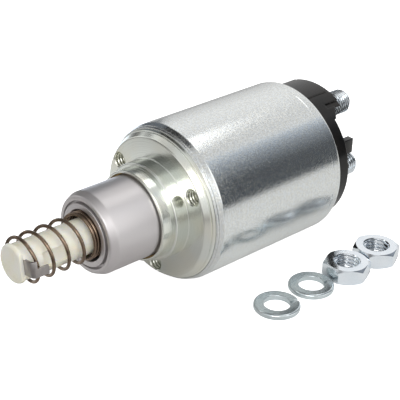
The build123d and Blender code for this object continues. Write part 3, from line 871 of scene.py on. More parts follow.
@dataclass(frozen=True)
class Thread:
    """A screw thread in millimetres: its radii, its pitch and length, the run-out at its ends and its steps."""

    root_r: float
    crest_r: float
    back_r: float
    pitch: float
    length: float
    runout: float
    around: int
    along: int

    def grow(self, place: Corner, turn_deg: float, finish: Finish) -> bpy.types.Mesh:
        """Grows the thread.

        Args:
            place: the middle of its first end, in millimetres.
            turn_deg: how far its axis is turned from +Z to +X.
            finish: its finish.

        Returns:
            The thread's mesh.
        """
        values = {
            "Root Radius": self.root_r * MM, "Crest Radius": self.crest_r * MM, "Back Radius": self.back_r * MM,
            "Pitch": self.pitch * MM, "Length": self.length * MM, "Runout": self.runout * MM, "Around": self.around,
            "Along": self.along, "Place": tuple(value * MM for value in place),
            "Turn": (0.0, math.radians(turn_deg), 0.0), "Material": finish.material(),
        }
        return grown("thread", TREES["thread"], values)


@dataclass
class Can:
    """The drawn shell, rolled in over the plate in front and over the cap's flange behind."""

    front_x: float = 3.8
    rear_x: float = 71.0
    outer_r: float = 31.5
    lip_inner_r: float = 30.0
    lip_r: float = 30.35
    bead_x: float = 4.25
    bead_r: float = 30.6
    bead_steps: tuple[Corner, ...] = ((0.0, 0.0, 0.2), (0.35, 0.1, 0.05), (0.5, -0.2, 0.05), (0.75, 0.2, 0.12))
    taper_x: float = 7.0
    rim_inner_r: float = 29.03
    rim_front_x: float = 69.0
    seat_r: float = 29.6
    seat_x: float = 53.8
    bore_r: float = 28.5
    bore_x: float = 10.0
    crease_x: float = 66.4
    crease_half: float = 0.35
    crease_depth: float = 0.045

    def build(self) -> None:
        """Builds the shell."""
        bead = [(self.bead_x + x, self.bead_r + r, rounding) for x, r, rounding in self.bead_steps]
        corners = [
            (self.front_x, self.lip_inner_r, 0.1), (self.front_x, self.lip_r, 0.15), *bead,
            (self.taper_x, self.outer_r, 2.0), (self.crease_x - self.crease_half, self.outer_r, 0.1),
            (self.crease_x, self.outer_r - self.crease_depth, 0.15),
            (self.crease_x + self.crease_half, self.outer_r, 0.1), (self.rear_x, self.outer_r, 1.5),
            (self.rear_x, self.rim_inner_r, 0.25), (self.rim_front_x, self.rim_inner_r, 0.1),
            (self.rim_front_x, self.seat_r, 0.1), (self.seat_x, self.seat_r, 0.1), (self.seat_x, self.bore_r, 0.1),
            (self.bore_x, self.bore_r, 0.1), (self.bore_x, self.lip_inner_r, 0.1),
        ]
        show("can_shell", lathe("can", corners, 256), ZINC_CAN, "housing", ["can"])


@dataclass
class PoleEnd:
    """The front plate with its pilot boss, collar and tapped holes, and the sleeve in its bore."""

    collar_x: float = -11.4
    collar_r: float = 17.9
    boss_x: float = -6.3
    boss_r: float = 19.5
    face_r: float = 27.75
    bevel_x: float = 2.3
    shoulder_r: float = 29.4
    groove_steps: tuple[Corner, ...] = ((0.0, 0.0, 0.3), (0.3, -0.45, 0.08), (0.55, 0.2, 0.2))
    seat_x: float = 3.8
    seat_r: float = 29.97
    rear_x: float = 10.0
    bore_r: float = 16.99
    hole_circle_r: float = 24.25
    hole_angles: tuple[float, ...] = (28.5, 148.5, 268.5)
    hole_root_r: float = 3.1
    hole_crest_r: float = 2.82
    hole_mouth_r: float = 3.6
    hole_depth: float = 8.5
    thread_pitch: float = 1.25
    thread_lead: float = 0.35
    thread_short: float = 0.4
    thread_wall: float = 0.2
    sleeve_front_x: float = -9.4
    sleeve_rear_x: float = 50.0
    sleeve_inner_r: float = 16.26
    sleeve_outer_r: float = 16.96
    sleeve_chamfer: tuple[float, float] = (0.4, 0.25)

    def build(self) -> None:
        """Builds the plate and the sleeve."""
        groove = [(self.bevel_x + x, self.shoulder_r + r, rounding) for x, r, rounding in self.groove_steps]
        plate = lathe(
            "plate",
            [
                (self.collar_x, self.bore_r, 0.08), (self.collar_x, self.collar_r, 0.5),
                (self.boss_x, self.collar_r, 0.1), (self.boss_x, self.boss_r, 0.55), (0.0, self.boss_r, 0.35),
                (0.0, self.face_r, 0.7), *groove, (self.seat_x, self.seat_r, 0.12),
                (self.rear_x, self.seat_r, 0.1), (self.rear_x, self.bore_r, 0.1),
            ],
            segments=256,
        )
        plate = self.drilled(plate)
        threads = [self.tapped(angle) for angle in self.hole_angles]
        plate = joined("plate", [plate, *threads])
        show("front_plate_turned", plate, ZINC_FACE, "housing", ["front_plate"])
        sleeve = lathe(
            "sleeve",
            [
                (self.sleeve_front_x, self.sleeve_inner_r + self.sleeve_chamfer[1], 0.1),
                (self.sleeve_front_x, self.sleeve_outer_r, 0.08), (self.sleeve_rear_x, self.sleeve_outer_r, 0.08),
                (self.sleeve_rear_x, self.sleeve_inner_r, 0.08),
                (self.sleeve_front_x + self.sleeve_chamfer[0], self.sleeve_inner_r, 0.1),
            ],
            segments=160,
        )
        show("guide_sleeve_drawn", sleeve, SHADED_BRASS, "housing", ["guide_sleeve"])

    def spot(self, angle: float) -> tuple[float, float]:
        """The Y and Z of the tapped hole at an angle from +Y, turned from +Y down to -Z."""
        turn = math.radians(angle)
        return self.hole_circle_r * math.cos(turn), self.hole_circle_r * math.sin(turn)

    def drilled(self, plate: bpy.types.Mesh) -> bpy.types.Mesh:
        """Cuts the tapped holes with their chamfered mouths.

        Args:
            plate: the turned plate, which is removed.

        Returns:
            The plate with its holes.
        """
        drills = []
        for angle in self.hole_angles:
            corners = [
                (-OVERCUT, 0.0, 0.0), (-OVERCUT, self.hole_mouth_r + OVERCUT, 0.0),
                (self.hole_mouth_r - self.hole_root_r, self.hole_root_r, 0.0), (self.hole_depth, self.hole_root_r, 0.0),
                (self.hole_depth, 0.0, 0.0),
            ]
            drills.append(lathe("drill", corners, 48, centre=self.spot(angle)))
        return carved(plate, joined("drills", drills))

    def tapped(self, angle: float) -> bpy.types.Mesh:
        """Grows the thread in one tapped hole.

        Args:
            angle: where the hole is, in degrees.

        Returns:
            The thread's mesh.
        """
        thread = Thread(
            self.hole_root_r + SINK, self.hole_crest_r, self.hole_root_r + self.thread_wall,
            self.thread_pitch, self.hole_depth - self.thread_short, 1.0, 40, 70,
        )
        return thread.grow((self.thread_lead, *self.spot(angle)), 90.0, ZINC_FACE)


@dataclass
class Plunger:
    """The ground iron plunger with its hub, recess and bored rear end."""

    front_x: float = -33.7
    rear_x: float = 26.0
    outer_r: float = 16.2
    edge_lead: float = 3.0
    edge_drop: float = 1.3
    hub_x: float = -34.2
    hub_r: float = 12.3
    rim_inner_r: float = 13.25
    groove_x: float = -31.6
    recess_r: float = 10.05
    recess_x: float = -23.5
    stem_bore_r: float = 7.06
    web_x: float = -13.5
    head_bore_r: float = 9.2
    shoulder_x: float = 12.0
    spring_bore_r: float = 10.6

    def build(self) -> None:
        """Builds the plunger."""
        corners = [
            (self.recess_x, self.stem_bore_r, 0.2), (self.recess_x, self.recess_r, 0.3),
            (self.hub_x, self.recess_r, 0.35), (self.hub_x, self.hub_r, 0.2), (self.groove_x, self.hub_r, 0.1),
            (self.groove_x, self.rim_inner_r, 0.1),
            (self.front_x, self.rim_inner_r, 0.3), (self.front_x, self.outer_r - self.edge_drop, 0.9),
            (self.front_x + self.edge_lead, self.outer_r, 2.0), (self.rear_x, self.outer_r, 0.4),
            (self.rear_x, self.spring_bore_r, 0.3), (self.shoulder_x, self.spring_bore_r, 0.1),
            (self.shoulder_x, self.head_bore_r, 0.1), (self.web_x, self.head_bore_r, 0.2),
            (self.web_x, self.stem_bore_r, 0.2),
        ]
        show("plunger_ground", lathe("plunger", corners, 224), GROUND_STEEL, "plunger", ["plunger"])


@dataclass
class ShiftStem:
    """The moulded stem and the steel clip that holds the engagement spring on it."""

    roll_deg: float = -9.0
    tip_x: float = -66.1
    tip_r: float = 7.5
    tip_round: float = 1.2
    tip_rear_x: float = -64.6
    tip_flat: float = 5.6
    body_r: float = 7.0
    head_x: float = -13.4
    head_r: float = 8.8
    rear_x: float = -9.6
    slot_rear_x: float = -63.54
    slot_half: float = 3.03
    pocket_front_x: float = -57.0
    pocket_rear_x: float = -46.0
    pocket_floor: float = 5.4
    pocket_half: float = 3.0
    mould_edge: float = 0.22
    mould_sharp_deg: float = 35.0
    clip_front_x: float = -64.57
    clip_thickness: float = 1.0
    clip_half_length: float = 11.2
    clip_half_height: float = 3.0
    tab_length: float = 6.8
    tab_top: float = 0.3
    ear_length: float = 1.9
    far_end: float = 7.9
    bend_r: float = 0.6
    strip_edge: float = 0.14
    strip_round: float = 0.3

    def axes(self) -> tuple[tuple[float, float, float], ...]:
        """The stem's own directions: along it, across it towards the clip's tabs, and up."""
        turn = math.radians(self.roll_deg)
        return (1.0, 0.0, 0.0), (0.0, math.cos(turn), math.sin(turn)), (0.0, -math.sin(turn), math.cos(turn))

    def build(self) -> None:
        """Builds the stem and its clip."""
        show("stem_moulded", self.stem(), IVORY_PLASTIC, "stem", ["stem"], 40)
        show("clip_stamped", self.clip(), CLIP_STEEL, "stem", ["spring_clip"], 40)

    def stem(self) -> bpy.types.Mesh:
        """Turns the stem and cuts its flat, its slot and its pocket.

        Returns:
            The stem's mesh.
        """
        body = lathe(
            "stem",
            [
                (self.tip_x, 0.0, 0.0), (self.tip_x, self.tip_r, self.tip_round), (self.tip_rear_x, self.tip_r, 0.1),
                (self.tip_rear_x, self.body_r, 0.05), (self.head_x, self.body_r, 0.05), (self.head_x, self.head_r, 0.3),
                (self.rear_x, self.head_r, 0.3), (self.rear_x, 0.0, 0.0),
            ],
            segments=128,
            steps=5,
        )
        wide = self.tip_r + 2 * OVERCUT
        cuts = [
            ((self.tip_x - OVERCUT, -wide, -wide), (self.tip_rear_x + SINK, -self.tip_flat, wide)),
            ((self.tip_rear_x, -wide, -self.slot_half), (self.slot_rear_x, wide, self.slot_half)),
            (
                (self.pocket_front_x, -wide, -self.pocket_half),
                (self.pocket_rear_x, -self.pocket_floor, self.pocket_half),
            ),
        ]
        for low, high in cuts:
            body = carved(body, box(low, high, self.axes()))
        sharp = math.radians(self.mould_sharp_deg)
        bevel = {"width": self.mould_edge * MM, "segments": 3, "limit_method": "ANGLE", "angle_limit": sharp}
        return modified(body, [("BEVEL", bevel)])

    def clip(self) -> bpy.types.Mesh:
        """Bends the clip's strip: through the stem's slot, then back along the spring on both sides.

        Returns:
            The clip's mesh.
        """
        front, tail = self.clip_front_x, self.clip_front_x + self.tab_length
        inner_x, reach = front + self.clip_thickness, self.clip_half_length
        inner = reach - self.clip_thickness
        outer_bend, soft = self.bend_r + self.clip_thickness, self.strip_round
        corners = [
            (tail, -reach, soft), (front, -reach, outer_bend), (front, reach, outer_bend), (tail, reach, soft),
            (tail, inner, soft), (inner_x, inner, self.bend_r), (inner_x, -inner, self.bend_r), (tail, -inner, soft),
        ]
        top = self.clip_half_height
        strip = slab("clip", corners, -top, top, self.strip_edge, self.axes(), 6)
        past, above, beside = tail + OVERCUT, top + OVERCUT, reach + OVERCUT
        trims = (
            ((front + self.ear_length, -beside, self.tab_top), (past, -inner + OVERCUT, above)),
            ((front - OVERCUT, self.far_end, -above), (past, beside, above)),
        )
        for low, high in trims:
            strip = carved(strip, box(low, high, self.axes()))
        return strip


@dataclass(frozen=True)
class Spring:
    """One wound spring: where it lies, how it is wound, and the joint that closes it."""

    node: str
    body: str
    joint: str
    travel: float
    fixed_x: float
    front_x: float
    rear_x: float
    outer_r: float
    wire_r: float
    first_turns: float
    open_turns: float
    last_turns: float
    start_deg: float
    finish: Finish
    slot: str
    rise: float = 0.0
    close_ratio: float = 2.02
    turn_steps: int = 56

    def build(self) -> None:
        """Winds the spring."""
        close_pitch = self.close_ratio * self.wire_r
        length = self.rear_x - self.front_x - 2 * self.wire_r
        open_pitch = (length - (self.first_turns + self.last_turns) * close_pitch) / self.open_turns
        turns = self.first_turns + self.open_turns + self.last_turns
        mesh = grown(
            self.node,
            TREES["spring"],
            {
                "Front": (self.front_x + self.wire_r) * MM, "Mean Radius": (self.outer_r - self.wire_r) * MM,
                "Wire Radius": self.wire_r * MM, "First Turns": self.first_turns, "Open Turns": self.open_turns,
                "Last Turns": self.last_turns, "Close Pitch": close_pitch * MM, "Open Pitch": open_pitch * MM,
                "Start Angle": math.radians(self.start_deg), "Rise": self.rise * MM,
                "Steps": int(turns * self.turn_steps) + 1, "Material": self.finish.material(),
            },
        )
        piece = show(self.node + "_wound", mesh, self.finish, self.body, [self.node], 60)
        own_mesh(piece)


SPRINGS = (
    Spring(
        "engagement_spring", "plunger", "stem_push_in", 4.0, -23.5, -63.3, -23.6, 9.45, 0.68, 0.6, 3.86, 8.6, 272.0,
        SPRING_BRONZE, "spring_bronze", 0.7,
    ),
    Spring(
        "plunger_return_spring", "housing", "plunger_pull_in", 11.5, 44.0, 14.1, 43.9, 10.2, 0.75, 1.0, 4.0, 1.0, 0.0,
        SPRING_STEEL, "spring_steel",
    ),
    Spring(
        "contact_return_spring", "housing", "contact_rod_slide", 3.0, 81.0, 70.9, 80.9, 5.4, 0.4, 0.6, 3.8, 0.6, 0.0,
        SPRING_STEEL, "spring_steel",
    ),
    Spring(
        "contact_spring", "contact_rod", "bridge_slip", 0.75, 61.3, 61.4, 65.7, 6.2, 0.5, 0.1, 2.2, 0.1, 0.0,
        SPRING_STEEL, "spring_steel",
    ),
)


@dataclass
class SwitchEnd:
    """The moulded cap with its terminal studs, their washers and the control blade."""

    front_x: float = 60.8
    flange_r: float = 29.5
    flange_rear_x: float = 68.97
    body_r: float = 28.65
    rear_x: float = 78.3
    inner_r: float = 26.6
    ceiling_x: float = 75.3
    dome_r: float = 9.5
    dome_rear_x: float = 83.5
    dome_inner_r: float = 7.0
    dome_ceiling_x: float = 81.0
    tower_r: float = 6.9
    root_x: float = 77.5
    wall_inner_r: float = 27.2
    wall_first_deg: float = 70.0
    shroud_last_deg: float = 117.0
    shroud_rear_x: float = 86.0
    land_r: float = 29.0
    notch_r: float = 27.8
    land_front_x: float = 72.6
    land_rear_x: float = 84.2
    land_last_deg: float = 106.4
    cheek_degrees: tuple[float, float] = (121.0, 132.0)
    cheek_rear_x: tuple[float, float] = (82.4, 79.0)
    barrier_low: tuple[float, float] = (-24.8, 6.85)
    barrier_high: tuple[float, float] = (-21.8, 13.25)
    barrier_rear_x: float = 84.0
    blade_angle_deg: float = -25.0
    blade_radius: float = 20.0
    foot_size: tuple[float, float] = (5.0, 10.0)
    foot_rear_x: float = 80.5
    mould_edge: float = 0.35
    stud_spots: tuple[tuple[str, float, float], ...] = (
        ("battery_terminal", -6.198, 19.897),
        ("motor_terminal", -12.8, -6.1),
    )
    stud_seat_x: float = 84.7
    stud_end_x: float = 97.0
    stud_root_r: float = 4.3
    stud_crest_r: float = 5.0
    thread_lead: float = 0.05
    thread_wall: float = 0.3
    shank_r: float = 5.3
    bar_front_x: float = 71.7
    bar_inner_r: float = 12.5
    bar_outer_r: float = 25.6
    bar_width: float = 12.5
    bar_round: float = 1.7
    bar_edge: float = 0.15
    thread_pitch: float = 1.25
    plated: tuple[tuple[str, str, float], ...] = (
        ("stud_washers", "stud_washers_plated", 0.15),
        ("control_terminal", "control_blade", 0.12),
    )

    def build(self) -> None:
        """Builds the cap and what stands in it."""
        show("cap_moulded", self.cap(), BLACK_PLASTIC, "housing", ["switch_cap"], 40)
        for node, y, z in self.stud_spots:
            show(node + "_threaded", self.stud(y, z), ZINC_STUD, "housing", [node])
        for node, name, rounding in self.plated:
            show(name, node_copy(node, rounding), ZINC_BRIGHT, "housing", [node], 50)

    def cap(self) -> bpy.types.Mesh:
        """Moulds the cap with its dome, towers, walls and barrier.

        Returns:
            The cap's mesh.
        """
        edge = self.mould_edge
        body = lathe(
            "cap",
            [
                (self.front_x, self.inner_r, 0.1), (self.front_x, self.flange_r, 0.1),
                (self.flange_rear_x, self.flange_r, 0.1), (self.flange_rear_x, self.body_r, 0.05),
                (self.rear_x, self.body_r, 0.5), (self.rear_x, self.dome_r, 0.3),
                (self.dome_rear_x, self.dome_r, 0.6), (self.dome_rear_x, 0.0, 0.0), (self.dome_ceiling_x, 0.0, 0.0),
                (self.dome_ceiling_x, self.dome_inner_r, 0.1), (self.ceiling_x, self.dome_inner_r, 0.1),
                (self.ceiling_x, self.inner_r, 0.1),
            ],
            segments=256,
        )
        parts = [body]
        for _, y, z in self.stud_spots:
            tower = [
                (self.root_x, self.shank_r, 0.0), (self.root_x, self.tower_r, 0.0),
                (self.dome_rear_x, self.tower_r, 0.4), (self.dome_rear_x, self.shank_r, 0.0),
            ]
            parts.append(lathe("tower", tower, segments=96, centre=(y, z)))
        wall = (self.wall_inner_r, self.body_r)
        first = self.wall_first_deg
        land_rear = (self.land_rear_x, self.land_rear_x)
        land_radii = (self.wall_inner_r, self.land_r)
        shroud_rear = (self.shroud_rear_x, self.shroud_rear_x)
        parts.append(sector("land", self.land_front_x, land_rear, land_radii, (first, self.land_last_deg), edge))
        parts.append(sector("shroud", self.root_x, shroud_rear, wall, (first, self.shroud_last_deg), edge))
        parts.append(sector("cheek", self.root_x, self.cheek_rear_x, wall, self.cheek_degrees, edge))
        notch = (self.shroud_last_deg - 1.0, self.cheek_degrees[0] + 1.0)
        parts.append(sector("notch", self.root_x, shroud_rear, (self.wall_inner_r, self.notch_r), notch, edge / 2))
        block = rectangle(self.barrier_low, self.barrier_high, edge)
        parts.append(slab("barrier", block, self.root_x, self.barrier_rear_x, edge, self.spoke(1.0, 0.0)))
        turn = math.radians(self.blade_angle_deg)
        deep, wide = self.foot_size[0] / 2, self.foot_size[1] / 2
        foot = rectangle((self.blade_radius - deep, -wide), (self.blade_radius + deep, wide), edge)
        axes = self.spoke(math.cos(turn), math.sin(turn))
        parts.append(slab("blade_foot", foot, self.root_x, self.foot_rear_x, edge, axes))
        return joined("cap", parts)

    @staticmethod
    def spoke(y: float, z: float) -> tuple[tuple[float, float, float], ...]:
        """The directions out along a spoke of the cap towards unit Y and Z, across it, and back along the can."""
        return (0.0, y, z), (0.0, -z, y), (1.0, 0.0, 0.0)

    def stud(self, y: float, z: float) -> bpy.types.Mesh:
        """Builds one threaded stud on its contact bar.

        Args:
            y: the stud's place across the cap.
            z: the stud's height on the cap.

        Returns:
            The stud's mesh.
        """
        core_r = self.stud_root_r + 2 * SINK
        shaft = lathe(
            "shaft",
            [
                (self.ceiling_x, 0.0, 0.0), (self.ceiling_x, self.shank_r, 0.1), (self.stud_seat_x, self.shank_r, 0.15),
                (self.stud_seat_x, core_r, 0.05), (self.stud_end_x, core_r, 0.35), (self.stud_end_x, 0.0, 0.0),
            ],
            segments=64,
            centre=(y, z),
        )
        thread = Thread(
            self.stud_root_r, self.stud_crest_r, self.stud_root_r - self.thread_wall, self.thread_pitch,
            self.stud_end_x - self.stud_seat_x - 2 * self.thread_lead, 1.0, 56, 100,
        ).grow((self.stud_seat_x + self.thread_lead, y, z), 90.0, ZINC_STUD)
        return joined("stud", [shaft, thread, self.contact_bar(y, z)])

    def contact_bar(self, y: float, z: float) -> bpy.types.Mesh:
        """Builds the bar under a stud, with its side edges rounded.

        Args:
            y: the stud's place across the cap.
            z: the stud's height on the cap.

        Returns:
            The bar's mesh.
        """
        reach = math.hypot(y, z)
        half = self.bar_width / 2
        corners = rectangle((self.bar_inner_r, -half), (self.bar_outer_r, half), self.bar_round)
        axes = self.spoke(y / reach, z / reach)
        return slab("bar", corners, self.bar_front_x, self.ceiling_x, self.bar_edge, axes, 6)


@dataclass
class LooseHardware:
    """The nuts and split washers that lie beside the can."""

    floor_z: float = -31.5
    nuts: tuple[tuple[str, str, float, float, float], ...] = (
        ("terminal_nut_1", "nut_1", 78.9, -46.2, 25.0),
        ("terminal_nut_2", "nut_2", 60.4, -46.9, 22.4),
    )
    washers: tuple[tuple[str, str, float, float, float], ...] = (
        ("spring_washer_1", "washer_1", 22.0, -46.2, -28.0),
        ("spring_washer_2", "washer_2", 42.4, -44.8, -28.0),
    )
    across_flats: float = 17.0
    nut_height: float = 6.5
    chamfer_r: float = 8.3
    root_r: float = 5.0
    crest_r: float = 4.3
    mouth_r: float = 5.45
    pitch: float = 1.5
    chamfer_deg: float = 30.0
    nut_edge: float = 0.12
    nut_steps: int = 144
    thread_lead: float = 0.25
    thread_wall: float = 0.3
    washer_outer_r: float = 9.05
    washer_inner_r: float = 5.15
    washer_thickness: float = 2.2
    washer_split: float = 1.6
    split_lean: float = 25.0
    washer_steps: int = 120

    def build(self) -> None:
        """Builds the four loose pieces."""
        for node, body, x, y, turn in self.nuts:
            show(node + "_hex", self.nut(x, y, turn), ZINC_BRIGHT, body, [node], 24)
        for node, body, x, y, split in self.washers:
            show(node + "_split", self.washer(x, y, split), ZINC_WASHER, body, [node], 32)

    def nut(self, x: float, y: float, turn: float) -> bpy.types.Mesh:
        """Builds a hexagon nut lying flat, with chamfered corners and a countersunk, threaded bore.

        Args:
            x: its centre along the can.
            y: its centre across the can.
            turn: how far it is turned, in degrees.

        Returns:
            The nut's mesh.
        """
        around = self.nut_steps
        angles = np.arange(around) * 2 * math.pi / around
        wall = self.across_flats / 2 / np.cos((angles % (math.pi / 3)) - math.pi / 6)
        drop = np.maximum(wall - self.chamfer_r, 0.0) * math.tan(math.radians(self.chamfer_deg))
        rim = np.minimum(wall, self.chamfer_r) - 2 * SINK
        knee = KNEE * self.nut_edge
        half = [
            (self.root_r, self.mouth_r - self.root_r), (self.mouth_r, 0.0), (rim, 0.0), (wall - knee, drop + knee),
            (wall, drop + self.nut_edge),
        ]
        spin = angles + math.radians(turn)
        points = [
            np.column_stack(
                (x + r * np.cos(spin), y + r * np.sin(spin), np.broadcast_to(self.floor_z + z, around))
            )
            for r, z in half + [(r, self.nut_height - z) for r, z in reversed(half)]
        ]
        body = mesh_of("nut", np.concatenate(points), grid_faces(len(points), around, True))
        thread = Thread(
            self.root_r + SINK, self.crest_r, self.root_r + self.thread_wall, self.pitch,
            self.nut_height - 2 * self.thread_lead, 0.9, 56, 56,
        ).grow((x, y, self.floor_z + self.thread_lead), 0.0, ZINC_BRIGHT)
        return joined("nut", [body, thread])

    def washer(self, x: float, y: float, split: float) -> bpy.types.Mesh:
        """Builds a split spring washer lying flat.

        Args:
            x: its centre along the can.
            y: its centre across the can.
            split: where its split is, in degrees from +X.

        Returns:
            The washer's mesh.
        """
        section = rounded(
            [
                (self.washer_inner_r, 0.0, 0.3), (self.washer_outer_r, 0.0, 0.6),
                (self.washer_outer_r, self.washer_thickness, 0.85), (self.washer_inner_r, self.washer_thickness, 0.4),
            ],
            6,
        )
        middle = (self.washer_inner_r + self.washer_outer_r) / 2
        lean = math.tan(math.radians(self.split_lean))
        rows = []
        for share in np.arange(self.washer_steps + 1) / self.washer_steps:
            for radius, height in section:
                gap = self.washer_split / 2 / radius
                first = math.radians(split) + (radius - middle) * lean / radius + gap
                angle = first + (2 * math.pi - 2 * gap) * share
                rows.append((x + radius * math.cos(angle), y + radius * math.sin(angle), self.floor_z + height))
        return mesh_of("washer", np.array(rows), tube_faces(self.washer_steps + 1, len(section)))


@dataclass
class HiddenParts:
    """The pieces inside the can, which keep their CAD shape."""

    finishes: tuple[tuple[Finish, tuple[str, ...]], ...] = (
        (BOBBIN_PLASTIC, ("coil_bobbin", "bridge_insulator", "insulator_ring")),
        (WINDING, ("pull_in_winding", "hold_in_winding")),
        (WRAP_PAPER, ("coil_wrap",)),
        (CORE_IRON, ("fixed_core", "core_plate")),
        (SHADED_BRASS, ("rod_bush",)),
        (RUBBER, ("cap_seal", "stud_seals")),
        (GROUND_STEEL, ("contact_rod", "rod_washer", "push_disc")),
        (CLIP_STEEL, ("rod_clip",)),
        (COPPER, ("contact_bridge",)),
    )

    def build(self) -> None:
        """Dresses the hidden pieces."""
        for finish, nodes in self.finishes:
            for node in nodes:
                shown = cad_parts[node].data
                shown.materials.clear()
                shown.materials.append(finish.material())
                LOG.info("%s: dressed in %s", node, finish.name)


# Studio


@dataclass(frozen=True)
class Patch:
    """A soft round patch of the room: the way it lies, its half width in degrees, its soft rim and its level."""

    towards: tuple[float, float, float]
    half_deg: float
    rim_deg: float
    level: float


@dataclass(frozen=True)
class SoftBox:
    """A soft lamp: its middle, the point that it faces, its size, its level and its turn."""

    name: str
    place: tuple[float, float, float]
    aim: tuple[float, float, float]
    size: tuple[float, float]
    level: float
    turn_deg: float = 0.0


@dataclass(frozen=True)
class Card:
    """A card that stands along the can, seen in reflections only: its corners, and its levels at two heights."""

    name: str
    y: float
    left_foot: tuple[float, float]
    left_top: tuple[float, float]
    right_x: float
    low_z: float
    low_level: float
    high_z: float
    high_level: float


@dataclass
class Studio:
    """The pale floor and room, the soft lamps, the cards and the camera."""

    eye: tuple[float, float, float] = (-0.27597, -0.3175, 0.23276)
    azimuth_deg: float = -43.32
    elevation_deg: float = 28.58
    roll_deg: float = 2.09
    lens_mm: float = 113.4
    sensor_mm: float = 36.0
    floor_z: float = -0.0315
    floor_half: float = 0.6
    floor_front: Colour = (0.93, 0.93, 0.92)
    # The back, left and end tones are painted shade and painted shadow on the floor, which reflections show.
    floor_back_painted_shade: Colour = (0.6, 0.6, 0.6)
    floor_left_painted_shadow: Colour = (0.62, 0.61, 0.61)
    floor_end_painted_shade: Colour = (0.34, 0.33, 0.33)
    floor_lift: float = 0.95
    back_shade_ramp: tuple[float, float] = (0.07, 0.14)
    left_shadow_ramp: tuple[float, float] = (-0.005, 0.03)
    near_shadow_ramp: tuple[float, float] = (0.0, 0.03)
    end_shade_ramp: tuple[float, float] = (-0.1, -0.065)
    crown_ramp: tuple[float, float] = (-0.05, 0.5)
    zenith_ramp: tuple[float, float] = (0.6, 0.8)
    card_colour: Colour = (0.83, 0.91, 1.02)
    horizon: float = 0.68
    crown: float = 0.95
    zenith: float = 0.68
    patches: tuple[Patch, ...] = (
        Patch((0.3, 0.9, 0.24), 13.0, 5.0, 0.03),
        Patch((0.14, 0.78, 0.55), 13.0, 5.0, 0.03),
        Patch((0.07, 0.5, 0.85), 13.0, 5.0, 0.03),
        Patch((0.03, 0.2, 0.97), 9.0, 6.0, 0.08),
        Patch((-0.62, 0.64, 0.42), 14.0, 10.0, 0.1),
        Patch((-0.6, 0.36, 0.7), 9.0, 8.0, 0.2),
        Patch((0.40, -0.72, 0.50), 21.0, 9.0, 1.45),
    )
    lamps: tuple[SoftBox, ...] = (
        SoftBox("overhead_box", (0.323, 0.06, 0.5), (0.323, 0.06, 0.0), (0.1, 0.24), 1.6, -22.0),
        SoftBox("side_box", (-0.9, -0.8, 0.9), (0.0, 0.0, 0.0), (0.9, 0.6), 2.7),
    )
    cards: tuple[Card, ...] = (
        Card("front_card", -0.1, (0.034, 0.006), (0.135, 0.24), 0.9, 0.06, 0.09, 0.22, 0.72),
        Card("front_strip", -0.2, (0.05, -0.021), (0.05, -0.005), 0.126, 0.0, 0.4, 0.1, 0.4),
        Card("back_card", 0.1, (0.02, 0.02), (0.02, 0.115), 0.078, 0.0, 0.14, 0.12, 0.2),
        Card("back_glow", 0.1, (0.02, -0.03), (0.02, 0.014), 0.07, 0.0, 1.5, 0.1, 1.5),
    )

    def build(self) -> None:
        """Builds the studio."""
        self.camera()
        self.floor()
        self.world()
        for lamp in self.lamps:
            self.lamp(lamp)
        for card in self.cards:
            self.card(card)
        bpy.context.scene.view_settings.view_transform = "Standard"

    def camera(self) -> None:
        """Places the camera where the photographer's stood."""
        a, e, r = (math.radians(v) for v in (self.azimuth_deg, self.elevation_deg, self.roll_deg))
        ahead = Vector((-math.sin(a) * math.cos(e), math.cos(a) * math.cos(e), -math.sin(e)))
        right = Vector((math.cos(a), math.sin(a), 0.0))
        up = Vector((-math.sin(a) * math.sin(e), math.cos(a) * math.sin(e), math.cos(e)))
        rolled_right = math.cos(r) * right + math.sin(r) * up
        rolled_up = -math.sin(r) * right + math.cos(r) * up
        data = bpy.data.cameras.new("camera")
        data.lens = self.lens_mm
        data.sensor_width = self.sensor_mm
        data.clip_start, data.clip_end = 0.01, 20.0
        camera = put("camera", data)
        turn = Matrix((rolled_right, rolled_up, -ahead)).transposed().to_4x4()
        camera.matrix_world = Matrix.Translation(Vector(self.eye)) @ turn
        bpy.context.scene.camera = camera

    def floor(self) -> None:
        """Lays the pale floor, which reads white to the camera and keeps the shadows; its tone, which reflections show,
        carries painted shade behind the can and past the plunger's front, and a painted shadow beside and under the
        plunger.
        """
        h, z = self.floor_half, self.floor_z
        mesh = bpy.data.meshes.new("floor")
        mesh.from_pydata([(-h, -h, z), (h, -h, z), (h, h, z), (-h, h, z)], [], [(0, 1, 2, 3)])
        material = bpy.data.materials.new("pale_floor")
        graph = Graph.within(material)
        across, depth, _ = graph.split(graph.value("ShaderNodeTexCoord", output="Object"))
        # Darkened behind the can (painted shade), beside and under the plunger where clear is low (painted shadow), and
        # past the plunger's front (painted shade).
        tone = graph.blend(graph.ramp(depth, *self.back_shade_ramp), self.floor_front, self.floor_back_painted_shade)
        clear = graph.math("MAXIMUM", graph.ramp(across, *self.left_shadow_ramp), graph.ramp(depth, *self.near_shadow_ramp))
        tone = graph.blend(clear, self.floor_left_painted_shadow, tone)
        tone = graph.blend(graph.ramp(across, *self.end_shade_ramp), self.floor_end_painted_shade, tone)
        seen = graph.value("ShaderNodeLightPath", output="Is Camera Ray")
        lift = {"Color": (1.0, 1.0, 1.0, 1.0), "Strength": seen * self.floor_lift}
        shaders = {0: graph.value("ShaderNodeBsdfDiffuse", {"Color": tone}), 1: graph.value("ShaderNodeEmission", lift)}
        graph.add("ShaderNodeOutputMaterial", {"Surface": graph.value("ShaderNodeAddShader", shaders)})
        mesh.materials.append(material)
        put("floor", mesh)

